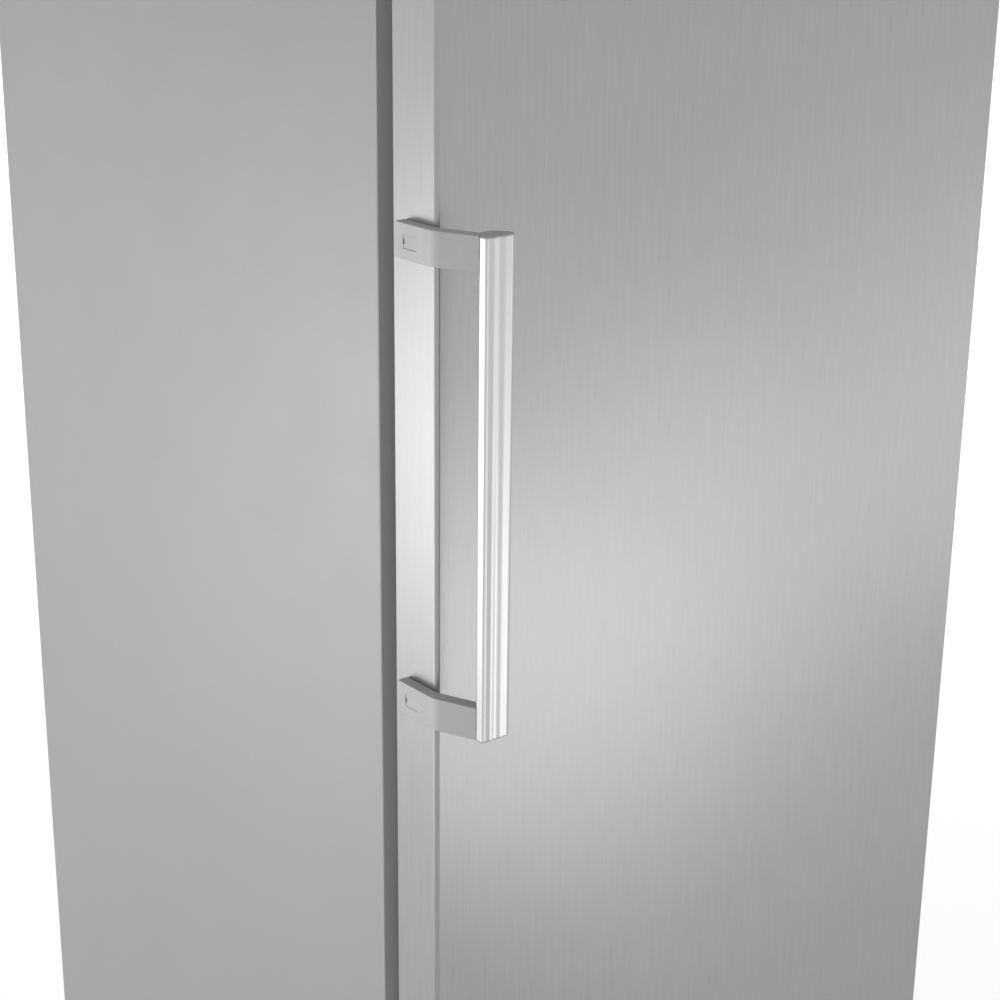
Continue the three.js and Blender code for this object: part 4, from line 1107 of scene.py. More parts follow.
class FREEZER_OT_side_panels(bpy.types.Operator):
    """Folded silver side panels"""

    bl_idname = "freezer.side_panels"
    bl_label = "Side Panels"

    def execute(self, context):
        s = sizes()
        middle = (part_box("side_panel_left")[0].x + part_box("side_panel_right")[1].x) / 2
        r, t = s.skin_fold, s.sheet
        for word in ("left", "right"):
            x, y, z = spans(f"side_panel_{word}")
            outer = x[1] - middle if word == "right" else middle - x[0]
            flange, hem = outer - (x[1] - x[0]), outer - s.rear_flange
            outline = ([(flange, y[0])] + arc(outer - r, y[0] + r, r, -90, 0, 6)
                       + arc(outer - r, y[1] - r, r, 0, 90, 6) + [(hem, y[1]), (hem, y[1] - t)]
                       + arc(outer - r, y[1] - r, r - t, 90, 0, 6)
                       + arc(outer - r, y[0] + r, r - t, 0, -90, 6) + [(flange, y[0] + t)])
            if word == "left":
                outline = flipped(outline)
            piece(f"side_skin_{word}", prism(shifted(outline, middle), *z), side_paint, CABINET,
                  f"side_panel_{word}")
        return {"FINISHED"}


# Half a screw's head from its foot to its crown: shares of its radius and of its height.
SCREW_PROFILE = ((0, 0), (1, 0), (1, 0.35), (0.8, 0.85), (0.45, 1), (0, 1))
SCREW_TURNS = {"z": 0.0, "y": -90.0, "-y": 90.0}


def screw(radius, height, facing):
    """A cross-slot screw head on the origin, its top towards the facing direction."""
    head = turned([(radius * u, height * v) for u, v in SCREW_PROFILE], (0, 0, 0), segments=20)
    arm, width, depth = radius * 0.6, radius * 0.14, height * 0.5
    head = carve(head, block((-arm, -width, height - depth), (arm, width, height + depth)),
                 block((-width, -arm, height - depth), (width, arm, height + depth)))
    turn = Matrix.Rotation(math.radians(SCREW_TURNS[facing]), 3, "X")
    bmesh.ops.rotate(head, verts=head.verts, cent=(0, 0, 0), matrix=turn)
    return head


def screws(spots, radius, height, facing):
    return on_points(screw(radius, height, facing), spots, zinc_steel)


class FREEZER_OT_top_and_back(bpy.types.Operator):
    """Top plate, beaded back sheet and their screws"""

    bl_idname = "freezer.top_and_back"
    bl_label = "Top and Back"

    def execute(self, context):
        s = sizes()
        x, y, z = spans("top_panel")
        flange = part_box("side_panel_left")[1].x + s.fit
        plate = slab(x, y, (z[1] - s.sheet, z[1]), s.sheet * 0.45)
        drop = slab((flange, x[0] + x[1] - flange), (y[0], y[0] + s.sheet), (z[0], z[1] - s.sheet / 2),
                    s.sheet * 0.3, 2)
        piece("top_plate", merge(plate, drop), side_paint, CABINET, "top_panel")
        line = y[1] - s.screw_radius * 3
        spots = [(along(x, share), line, z[1]) for share in (0.06, 0.35, 0.65, 0.94)]
        heads = screws(spots, s.screw_radius, s.screw_radius * 0.5, "z")
        piece("top_screws", heads, zinc_steel, CABINET)

        x, y, z = spans("back_panel")
        face, flat, slope = y[1], y[1] - s.emboss, s.emboss * 1.2
        border, inner = s.back_border, s.back_border * 2.2
        loops = [wall_loop(x, z, s.sheet, y[0]), wall_loop(x, z, s.sheet, flat)]
        for margin, level in ((border, flat), (border + slope, face), (inner, face), (inner + slope, flat)):
            loops.append(wall_loop(inset(x, margin), inset(z, margin), s.back_corner, level))
        piece("back_sheet", loft(loops), zinc_steel, CABINET, "back_panel")
        sides, ends = inset(x, border / 2), inset(z, border / 2)
        spots = [(side, flat, along(ends, i / (s.back_rows - 1)))
                 for i in range(s.back_rows) for side in sides]
        spots += [(along(x, share), flat, level) for share in (0.25, 0.5, 0.75) for level in ends]
        piece("back_screws", screws(spots, s.screw_radius, s.emboss * 0.9, "y"), zinc_steel, CABINET)
        return {"FINISHED"}


class FREEZER_OT_base(bpy.types.Operator):
    """Steel base, machine bay, front rail and the louvred plinth"""

    bl_idname = "freezer.base"
    bl_label = "Base and Plinth"

    def execute(self, context):
        s = sizes()
        dress(zinc_steel, "base_frame", "machine_bay")
        dress(side_paint, "front_rail_bottom")
        x, y, z = spans("plinth_grille")
        depth = y[1] - y[0]
        bm = soften(block(*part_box("plinth_grille")), s.edge_round * 3, 3, keep=on_level(1, y[0], any))
        pitch = (x[1] - x[0]) / s.plinth_slots
        reach = (pitch - s.plinth_bar) / 2
        level = (mid(z) - s.plinth_slot / 2, mid(z) + s.plinth_slot / 2)
        holes = []
        for i in range(s.plinth_slots):
            middle = x[0] + (i + 0.5) * pitch
            hole = rounded_rectangle(middle - reach, middle + reach, *level, s.plinth_slot / 5)
            holes.append(prism(hole, *inset(y, -depth), "front"))
        span = inset(x, s.plinth_bar / 2)
        slat = slab((span[0], span[0] + s.slat_pitch / 4), (along(y, 0.35), along(y, 0.9)),
                    inset(level, -s.past), s.edge_round * 0.6, 1)
        count = int((span[1] - span[0]) / s.slat_pitch)
        slats = row(slat, count, (s.slat_pitch, 0, 0), grey_plastic)
        piece("plinth", merge(carve(bm, *holes), slats), grey_plastic, CABINET, "plinth_grille")
        return {"FINISHED"}


class FREEZER_OT_hinges(bpy.types.Operator):
    """Hinge plates, their screws and the cover over the top hinge"""

    bl_idname = "freezer.hinges"
    bl_label = "Hinges"

    def execute(self, context):
        s = sizes()
        dress(zinc_steel, "top_hinge_bracket")
        plate_x, plate_y, _ = spans("top_hinge_bracket")
        x, y, z = spans("top_hinge_cover")
        wall, corner = s.cover_wall, s.cover_wall * 3
        hollow = inset(plate_x, -s.fit), inset(plate_y, -s.fit)
        loops = [plan_loop(*hollow, s.edge_round, z[1] - wall), plan_loop(*hollow, s.edge_round, z[0]),
                 plan_loop(x, y, corner, z[0])]
        for u, v in arc(0, 0, wall, 180, 90, 5):
            margin = wall + u
            loops.append(plan_loop(inset(x, margin), inset(y, margin), corner - margin / 2, z[1] - wall + v))
        piece("hinge_cover", loft(loops), grey_plastic, CABINET, "top_hinge_cover")

        x, y, z = spans("bottom_hinge_bracket")
        plate, collar, pin = s.hinge_plate, s.hinge_collar, s.hinge_pin
        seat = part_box("door_bottom_cap")[0].z - s.fit
        top = seat - plate
        wall = slab(x, (y[1] - plate, y[1]), (z[0], top), s.edge_round, 2)
        nose = prism(rounded_rectangle(*x, *y, s.hinge_nose, 8), top - plate, top)
        profile = [(0, top - s.past), (collar, top - s.past), (collar, seat), (pin, seat),
                   (pin, z[1] - s.past), (pin - s.past, z[1]), (0, z[1])]
        post = turned(profile, (*hinge_axis(), 0), segments=32)
        level = (z[0] + top - plate / 2) / 2
        spots = [(along(x, share), y[1] - plate, level) for share in (0.25, 0.75)]
        heads = screws(spots, s.screw_radius * 0.9, s.screw_radius * 0.45, "-y")
        bracket = merge(wall, soften(nose, s.edge_round, 2, angle=60), post, heads)
        piece("hinge_bottom", bracket, zinc_steel, CABINET, "bottom_hinge_bracket")
        return {"FINISHED"}


# ------------------------------------------------------------------ inside


def shelf_levels():
    """Undersides of the five shelves, from the top down."""
    return [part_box(f"glass_shelf_{i}")[0].z for i in range(1, 6)]


Cavity = namedtuple("Cavity", "x floor step ceiling step_front back")


def cavity():
    """Limits of the cabinet's hollow and of the step in its floor."""
    s = sizes()
    low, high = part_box("air_duct_cover")
    return Cavity(
        x=(low.x - s.fit, high.x + s.fit), floor=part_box("drawer_5")[0].z - s.fit, step=low.z - s.fit,
        ceiling=high.z + s.fit, step_front=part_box("foam_riser")[0].y - s.moulding - s.fit,
        back=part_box("fan_motor")[1].y + s.fit)


FOAM_BLOCKS = ("left", "right", "top", "back", "bottom", "riser", "step")


class FREEZER_OT_liner(bpy.types.Operator):
    """White moulded liner with ledges for the shelves, and the foam behind it"""

    bl_idname = "freezer.liner"
    bl_label = "Inner Liner"

    def execute(self, context):
        s, c = sizes(), cavity()
        low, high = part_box("inner_liner")
        wall, past = s.moulding, s.liner_corner * 3

        def side_outline(grow, front):
            return [(front, c.floor - grow), (c.step_front + grow, c.floor - grow),
                    (c.step_front + grow, c.step - grow), (c.back + grow, c.step - grow),
                    (c.back + grow, c.ceiling + grow), (front, c.ceiling + grow)]

        shell = prism(side_outline(wall, low.y), *inset(c.x, -wall), "side")
        lip = block(low, (high.x, low.y + wall, high.z))
        hollow = soften(prism(side_outline(0.0, low.y - past), *c.x, "side"), s.liner_corner, 4)
        bm = carve(weld(shell, lip), hollow)
        levels = shelf_levels()
        front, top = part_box("glass_shelf_1")[0].y, levels[0] - s.fit
        pitch = (levels[-1] - levels[0]) / (len(levels) - 1)
        for near, far in ((c.x[0] - wall / 2, c.x[0] + s.ledge), (c.x[1] - s.ledge, c.x[1] + wall / 2)):
            ledge = slab((near, far), (front, c.step_front - s.fit), (top - s.ledge, top), s.edge_round * 3)
            bm = merge(bm, row(ledge, len(levels), (0, 0, pitch), liner_plastic))
        piece("liner", bm, liner_plastic, CABINET, "inner_liner")
        dress(foam, *[f"foam_{word}" for word in FOAM_BLOCKS])
        return {"FINISHED"}


def fan_axis():
    """The fan's axis: its place across the cabinet and its height."""
    c = cavity()
    return mid(c.x), c.ceiling - sizes().fan_drop


class FREEZER_OT_air_duct(bpy.types.Operator):
    """Air duct cover with louvred vents and a guard over the fan"""

    bl_idname = "freezer.air_duct"
    bl_label = "Air Duct Cover"

    def execute(self, context):
        s = sizes()
        across, y, up = spans("air_duct_cover")
        x, z = fan_axis()
        edge, hub = s.edge_round, s.hub_radius
        sheet = prism(rounded_rectangle(*across, *up, s.liner_corner + s.fit), *y, "front")
        soften(sheet, edge, keep=on_level(1, y[0]))
        reach, rise = s.vent_length / 2, s.vent_height / 2
        pitch = (z - cavity().step) / (s.vents + 0.5)
        first = cavity().step + pitch / 2
        holes = [circle(x, z, s.fan_hole, 64)]
        for i in range(s.vents):
            level = first + pitch * i
            holes.append(rounded_rectangle(x - reach, x + reach, level - rise, level + rise, rise - edge))
        bm = carve(sheet, *[prism(hole, *inset(y, -s.past), "front") for hole in holes])

        bar, reach, rise = s.vent_height / 5, reach - s.vent_height, rise + s.past / 2
        slats = bars((x - reach, x + reach), (y[0] + edge, y[1] - edge / 2), (first - rise, first + rise),
                     bar, edge / 2, s.vent_bars, liner_plastic, 1)
        slats = row(slats, s.vents, (0, 0, pitch), liner_plastic)
        spoke = slab((x - bar / 2, x + bar / 2), inset(y, edge), (z + hub * 0.6, z + s.fan_hole + s.past),
                     edge / 2, 1)
        guard = [ring(spoke, s.spokes, (x, mid(y), z), (0, 1, 0), liner_plastic)]
        for share in (0.42, 0.61, 0.8):
            hoop = [(u, mid(y), v) for u, v in circle(x, z, s.fan_hole * share, 64)]
            guard.append(tube(hoop, bar / 2, 8, closed=True))
        dish = [(0, y[1] - edge), (hub * 0.7, y[1] - edge), (hub * 0.7, y[0] + edge),
                (hub * 0.5, y[0] + edge / 3), (0, y[0])]
        guard.append(turned(dish, (x, 0, z), "y", 40))
        piece("air_duct", merge(bm, slats, *guard), liner_plastic, CABINET, "air_duct_cover")
        return {"FINISHED"}


# The fan hub's rounded front: share of its radius, and millimetres behind its face.
HUB_FRONT = ((1.0, 4.0), (0.94, 1.5), (0.75, 0.3))
# The fan motor's front, from its side to its shaft: share of its radius, and millimetres behind its face.
MOTOR_FRONT = ((1.0, 6.0), (0.95, 2.0), (0.86, 0.0), (0.4, 0.0), (0.4, -1.2))


def fan_blade(x, y, z, root, tip, stations=9):
    """A blade that stands up from the fan's axis, thinner, flatter and swept towards its tip."""
    root_chord, swell, root_sheet, thinning = 0.019, 0.006, 0.0016, 0.0006
    root_pitch, untwist, camber, tip_sweep = 36.0, 10.0, 0.0018, 0.003
    loops = []
    for i in range(stations):
        share = i / (stations - 1)
        chord = root_chord + swell * math.sin(math.pi * share * 0.8)
        pitch = math.radians(root_pitch - untwist * share)
        sheet, sweep = root_sheet - thinning * share, tip_sweep * share * share
        level = z + root + (tip - root) * share
        loop = []
        for u, v in arc(0, 0, 1, 0, 345, 23):
            out, thick = u * chord / 2, v * sheet / 2 + (1 - u * u) * camber
            loop.append((x + sweep + out * math.cos(pitch) - thick * math.sin(pitch),
                         y + out * math.sin(pitch) + thick * math.cos(pitch), level))
        loops.append(loop)
    return loft(loops)


class FREEZER_OT_fan(bpy.types.Operator):
    """Fan with twisted blades, and its motor on the back wall"""

    bl_idname = "freezer.fan"
    bl_label = "Fan and Motor"

    def execute(self, context):
        s = sizes()
        x, z = fan_axis()
        _, y, up = spans("fan_rotor")
        radius, bore = s.hub_radius, s.hub_bore
        profile = [(bore, y[1]), (radius * 0.96, y[1]), (radius, y[1] - s.past)]
        profile += [(radius * share, y[0] + depth * MM) for share, depth in HUB_FRONT]
        hub = turned(profile + [(bore, y[0]), (bore, y[1])], (x, 0, z), "y")
        blade = fan_blade(x, mid(y), z, radius * 0.85, (up[1] - z) * 0.995)
        blades = ring(blade, s.blades, (x, mid(y), z), (0, 1, 0), grey_plastic)
        piece("fan_blades", merge(hub, blades), grey_plastic, "fan_rotor", "fan_rotor")

        across, y, up = spans("fan_motor")
        front, can, shaft = y[1] - s.motor_depth, (up[1] - up[0]) / 2, bore * 0.86
        profile = [(0, y[1]), (can, y[1])]
        profile += [(can * share, front + depth * MM) for share, depth in MOTOR_FRONT]
        tip = 0.0005
        profile += [(shaft, profile[-1][1]), (shaft, y[0] + tip), (shaft * 0.8, y[0]), (0, y[0])]
        body = turned(profile, (x, 0, z), "y")
        half, rise, plate = 0.0008, 0.0015, s.motor_plate
        rib_y = (front + MOTOR_FRONT[0][1] * MM + s.past, y[1] - plate - s.past)
        rib = slab((x - half, x + half), rib_y, (z + can - rise, z + can), s.edge_round / 2, 1)
        ribs = ring(rib, s.motor_ribs, (x, front, z), (0, 1, 0), dark_plastic)
        wings = prism(rounded_rectangle(*across, z - can / 2, z + can / 2, can * 0.35),
                      y[1] - plate, y[1], "front")
        motor = merge(body, ribs, soften(wings, s.edge_round))
        piece("motor", motor, dark_plastic, CABINET, "fan_motor")
        spots = [(side, y[1] - plate, z) for side in inset(across, 0.01)]
        piece("motor_screws", screws(spots, s.screw_radius, s.screw_radius / 2, "-y"), zinc_steel, CABINET)
        return {"FINISHED"}


def winding(straights, x, radius, place, steps=8, cuts=6):
    """A flat winding of straight runs along x, joined by half turns; place maps (x, offset) to a point."""
    points = []
    for i in range(straights):
        level = i * 2 * radius
        side = 1 if i % 2 == 0 else -1
        ends = x[::side]
        points += [place(along(ends, k / cuts), level) for k in range(cuts + 1)]
        if i + 1 < straights:
            turns = arc(0, 0, radius, -90, 90, steps)[1:-1]
            points += [place(ends[1] + side * u, level + radius + v) for u, v in turns]
    return points


def fins(x, y, z, pitch):
    """Cooling fins at a fixed pitch, as many as the reach along x holds."""
    sheet = sizes().fin_sheet
    fin = slab((x[0], x[0] + sheet), y, z, sheet * 0.3, 1)
    return row(fin, int((x[1] - x[0]) / pitch) + 1, (pitch, 0, 0), bare_aluminium)


class FREEZER_OT_evaporator(bpy.types.Operator):
    """Finned evaporator and the defrost heater under it"""

    bl_idname = "freezer.evaporator"
    bl_label = "Evaporator and Heater"

    def execute(self, context):
        s = sizes()
        x, y, z = spans("evaporator")
        span = inset(x, s.fin_margin)
        parts = [fins(span, (y[0], y[1] - s.fin_setback), z, s.fin_pitch)]
        ends, first = inset(x, s.coil_bend + s.coil_pipe), z[0] + s.coil_rise
        for depth in (y[0] + s.coil_front, y[0] + s.coil_rear):
            path = winding(s.coils, ends, s.coil_bend, lambda u, v: (u, depth, first + v))
            parts.append(tube(path, s.coil_pipe, 14))
        near, far = 0.0005, 0.002
        for plate in ((span[0] - far, span[0] - near), (span[1] + near, span[1] + far)):
            parts.append(slab(plate, y, z, s.edge_round / 2, 1))
        piece("evaporator_coil", merge(*parts), bare_aluminium, CABINET, "evaporator")

        x, y, z = spans("defrost_heater")
        pipe = (z[1] - z[0]) / 2
        bend = (y[1] - y[0]) / 2 - pipe
        path = winding(2, (x[0], x[1] - bend - pipe), bend, lambda u, v: (u, y[0] + pipe + v, mid(z)), 12)
        parts = [tube(path, pipe * 0.8, 16)]
        sleeve, start, end, chamfer = pipe * 0.999, x[0] + 0.0001, x[0] + 0.03, 0.002
        profile = [(0, start), (sleeve * 0.9, start), (sleeve, x[0] + chamfer / 2), (sleeve, end - chamfer),
                   (sleeve * 0.8, end), (0, end)]
        parts += [turned(profile, (0, level, mid(z)), "x", 20) for level in inset(y, pipe)]
        piece("heater", merge(*parts), bare_aluminium, CABINET, "defrost_heater")
        return {"FINISHED"}


# Half a rubber mount of the compressor: millimetres from its axis, and up.
GROMMET = ((0, 0), (11, 0), (11.2, 4), (9.2, 7.5), (11.2, 11), (10.8, 14.8), (6, 14.8), (0, 14.8))
# The drip tray's section: millimetres in from its side, and up from its underside or its rim.
TRAY_OUTSIDE = ((1, 0), (0, 1))
TRAY_RIM = ((0, -0.6), (0.6, 0), (1.4, 0), (2, -0.6))
TRAY_INSIDE = ((2.5, 4), (4.5, 2))
# A pipe of the compressor: millimetres to its side, out of the can's wall, and up.
PIPE_STUB = ((0, -8, 0), (0, 3, 0), (0.5, 5.5, 1.5), (0.8, 5.8, 12))
# The bead round the compressor's seam: millimetres out of the can's wall, and up.
SEAM_BEAD = ((0, -2), (2.2, -1.2), (2.2, 1.2), (0, 2))


class FREEZER_OT_compressor(bpy.types.Operator):
    """Compressor on its rubber mounts, with its terminal box and pipes"""

    bl_idname = "freezer.compressor"
    bl_label = "Compressor"

    def execute(self, context):
        s = sizes()
        spread, depth, up = spans("compressor")
        x, y, r = mid(spread), mid(depth), s.can_radius
        base, corner = up[0] + s.compressor_mount, 0.014
        seam, heel, dome = along((base, up[1]), 0.47), (0.01, 0.02), (0.032, 0.0405)
        lower = oval(r - heel[0], base + heel[1], *heel, -90, 0, 6)
        upper = oval(r - dome[0], up[1] - dome[1], *dome, 0, 90, 12)
        profile = [(0, base), *lower, *placed(SEAM_BEAD, r, seam), *upper, (0, up[1])]
        can = turned(profile, (x, y, 0), segments=72)
        plate = prism(rounded_rectangle(*spread, *depth, corner, 8), base - 0.001, base + 0.002)
        body = merge(can, soften(plate, s.edge_round))
        piece("compressor_can", body, black_paint, CABINET, "compressor")
        spots = [(mount_x, mount_y, up[0]) for mount_x in inset(spread, corner)
                 for mount_y in inset(depth, corner)]
        mounts = on_points(turned(placed(GROMMET), (0, 0, 0), segments=28), spots, dark_plastic)
        half, proud, sunk, box_z = 0.028, 0.0075, 0.02, (base + 0.035, base + 0.085)
        box = slab((x - half, x + half), (y - r - proud, y - r + sunk), box_z, 0.003)
        piece("compressor_mounts", merge(mounts, box), dark_plastic, CABINET)
        pipes = []
        for side, level in ((-1, base + 0.05), (1, base + 0.072)):
            path = [(x + side * (0.03 + u * MM), y + r + v * MM, level + w * MM) for u, v, w in PIPE_STUB]
            pipes.append(tube(path, s.pipe_stub))
        piece("compressor_pipes", merge(*pipes), copper, CABINET)
        return {"FINISHED"}


class FREEZER_OT_condenser(bpy.types.Operator):
    """Finned condenser, and the drip tray beside it"""

    bl_idname = "freezer.condenser"
    bl_label = "Condenser and Drip Tray"

    def execute(self, context):
        s = sizes()
        x, y, z = spans("drip_tray")
        section = placed(TRAY_OUTSIDE, up=z[0]) + placed(TRAY_RIM, up=z[1]) + placed(TRAY_INSIDE, up=z[0])
        loops = [plan_loop(inset(x, margin), inset(y, margin), 0.008, level) for margin, level in section]
        piece("tray", loft(loops), dark_plastic, CABINET, "drip_tray")

        x, y, z = spans("condenser")
        pitch, pipe, margin = s.condenser_pitch, s.condenser_tube, s.condenser_margin
        first, half, clear = z[0] + pitch, s.sheet, 0.003
        path = winding(s.passes, inset(x, pitch / 2 + pipe), pitch / 2, lambda u, v: (u, mid(y), first + v))
        parts = [tube(path, pipe, 16)]
        for side in inset(x, margin - 0.004):
            parts.append(slab((side - half, side + half), y, z, s.edge_round / 2, 1))
        piece("condenser_tube", merge(*parts), copper, CABINET, "condenser")
        fin_z = (first - pitch / 3, z[1] - 2 * clear)
        stack = fins(inset(x, margin), inset(y, clear), fin_z, s.condenser_gap)
        piece("condenser_fins", stack, bare_aluminium, CABINET)
        return {"FINISHED"}


class FREEZER_OT_mains_inlet(bpy.types.Operator):
    """Mains inlet with its three pins"""

    bl_idname = "freezer.mains_inlet"
    bl_label = "Mains Inlet"

    def execute(self, context):
        s = sizes()
        x, y, z = spans("mains_inlet")
        mouth = rounded_rectangle(*inset(x, s.inlet_wall), *inset(z, s.inlet_wall), 0.003)
        mouth = prism(mouth, y[1] - 0.018, y[1] + s.past, "front")
        shell = carve(slab(x, y, z, s.edge_round, 2), mouth)
        piece("inlet", shell, dark_plastic, CABINET, "mains_inlet")
        wide, tall, pin_y, edge = 0.001, 0.002, (y[1] - 0.019, y[1] - 0.004), 0.0004
        pins = []
        for aside, rise in ((-0.007, 0.013), (0.0, 0.019), (0.007, 0.013)):
            pin_x, pin_z = mid(x) + aside, z[0] + rise
            pins.append(slab((pin_x - wide, pin_x + wide), pin_y, (pin_z - tall, pin_z + tall), edge, 2))
        piece("inlet_pins", merge(*pins), zinc_steel, CABINET)
        return {"FINISHED"}


# ------------------------------------------------------------------ shelves, drawers, flap


def shelf_trim(x, edge, way, nose, wall, top, under):
    """A channel along a shelf's edge; way is 1 at the front edge and -1 at the back one."""
    s = sizes()
    lip, chamfer, edge_cut, depth = s.trim_lip, 0.001, 0.00012, s.trim_depth
    floor = top - s.pane - s.trim_slack
    section = [*nose, (depth, top), (depth, top - lip), (wall, top - lip), (wall, floor), (depth, floor),
               (depth, under), (chamfer, under), (0, under + chamfer)]
    outline = [(edge + way * u, v) for u, v in section]
    return soften(prism(outline, *x, "side"), edge_cut, 1, angle=60)


class FREEZER_OT_shelves(bpy.types.Operator):
    """Glass shelves with a trim along the front and the back"""

    bl_idname = "freezer.shelves"
    bl_label = "Glass Shelves"

    def execute(self, context):
        s = sizes()
        for i in range(1, 6):
            x, y, z = spans(f"glass_shelf_{i}")
            top, under = z[1], z[0]
            outline = rounded_rectangle(*inset(x, s.edge_round), *inset(y, 0.003), 0.004)
            pane = prism(outline, top - s.pane, top - s.trim_lip - s.trim_slack)
            piece(f"shelf_pane_{i}", soften(pane, 0.0005, angle=60), glass, CABINET, f"glass_shelf_{i}")
            nose, chamfer = 0.0025, 0.001
            round_nose = arc(nose, top - nose, nose, 180, 90, 6)
            cut_nose = [(0, top - chamfer), (chamfer, top)]
            trims = merge(shelf_trim(x, y[0], 1, round_nose, 0.0035, top, under),
                          shelf_trim(x, y[1], -1, cut_nose, 0.0026, top, under))
            piece(f"shelf_trim_{i}", trims, light_plastic, CABINET)
        return {"FINISHED"}


def drawer_tub(x, y, floor, rim):
    """An open tub with round corners and a rounded foot, its wall as thick inside as out."""
    s = sizes()
    wall, fold = s.tub_wall, s.tub_fold
    hollow = fold - wall

    def level(margin, z):
        return plan_loop(inset(x, margin), inset(y, margin), s.tub_corner - margin / 2, z)

    loops = [level(fold - u, floor + fold - v) for u, v in arc(0, 0, fold, 90, 0, 6)]
    loops += [level(0.0, rim - 0.004), level(0.0, rim), level(wall, rim)]
    loops += [level(fold - u, floor + fold - v) for u, v in arc(0, 0, hollow, 0, 90, 6)]
    return loft(loops)


class FREEZER_OT_drawers(bpy.types.Operator):
    """Clear ribbed drawers with a grip along the front"""

    bl_idname = "freezer.drawers"
    bl_label = "Drawers"

    def execute(self, context):
        s = sizes()
        wall = s.tub_wall
        for i in range(1, 6):
            x, y, z = spans(f"drawer_{i}")
            face, top, lip = y[0] + s.drawer_reach, z[1], z[1] - s.drawer_lip
            tub = drawer_tub(x, (face, y[1]), z[0], top - s.tub_drop)
            front = prism(rounded_rectangle(*x, *z, 0.008, 8), face, face + wall, "front")
            hook = (arc(y[0] + wall, top - wall, wall, 180, 90, 6)
                    + [(face + wall / 2, top), (face + wall / 2, top - wall)]
                    + arc(y[0] + wall * 1.6, top - wall * 1.6, wall * 0.6, 90, 180, 4)
                    + [(y[0] + wall, lip), (y[0] + wall / 2, lip), (y[0], lip + wall / 2)])
            reach = s.drawer_grip / 2
            grip = prism(hook, mid(x) - reach, mid(x) + reach, "side")
            for part in (front, grip):
                tub = weld(tub, soften(part, s.edge_round, 2, angle=60))
            margin, wide, proud, sunk = 0.03, 0.004, 0.0012, 0.0005
            ribs = bars(inset(x, margin), (face - proud, face + sunk), (z[0] + margin, top - 0.05),
                        wide, sunk, s.drawer_ribs, clear_plastic)
            piece(f"drawer_tub_{i}", merge(tub, ribs), clear_plastic, f"drawer_{i}", f"drawer_{i}")
        return {"FINISHED"}


def flap_axis():
    """The flap's pin, as its place in depth and its height."""
    s = sizes()
    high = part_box("flap")[1]
    return high.y - 0.001 - s.flap_plate / 2, high.z - s.flap_plate


class FREEZER_OT_flap(bpy.types.Operator):
    """Clear flap of the top compartment"""

    bl_idname = "freezer.flap"
    bl_label = "Flap"

    def execute(self, context):
        s = sizes()
        across, y, z = spans("flap")
        x = inset(spans("control_housing")[0], 0.008)
        plate, back = s.flap_plate, y[1] - 0.001
        axis_y, axis_z = flap_axis()
        front, top = back - plate, z[0] + plate
        crown, nose, fold, chamfer = 0.0018, 0.0019, 0.002, 0.0006
        outline = [(back, z[0] + chamfer), *arc(back - crown, z[1] - crown, crown, 0, 180, 10),
                   (front, top + fold), *arc(front - fold, top + fold, fold, 0, -90, 4),
                   *arc(y[0] + nose, top - nose, nose, 90, 180, 5),
                   *arc(y[0] + nose, z[0] + nose, nose, 180, 270, 5), (back - chamfer, z[0])]
        sheet = soften(prism(outline, *x, "side"), s.edge_round, 2, angle=60)
        radius, ends = s.flap_pin, inset(across, chamfer)
        profile = [(0, across[0]), (radius - chamfer, across[0]), (radius, ends[0]), (radius, ends[1]),
                   (radius - chamfer, across[1]), (0, across[1])]
        pin = turned(profile, (0, axis_y, axis_z), "x", 24)
        margin, wide, proud, sunk = 0.02, 0.003, 0.0008, 0.0005
        ribs = bars(inset(x, margin), (front - proud, front + sunk), (z[0] + margin, axis_z - margin),
                    wide, proud / 2, s.flap_ribs, clear_plastic)
        piece("flap_sheet", merge(weld(sheet, pin), ribs), clear_plastic, "flap", "flap")
        return {"FINISHED"}


# ------------------------------------------------------------------ controls and light


# Half the dish in a button: millimetres from its middle, and out of its face.
BUTTON_DISH = ((0, 0.4), (1.6, 0.2), (2.2, 0), (2.2, -2), (0, -2))


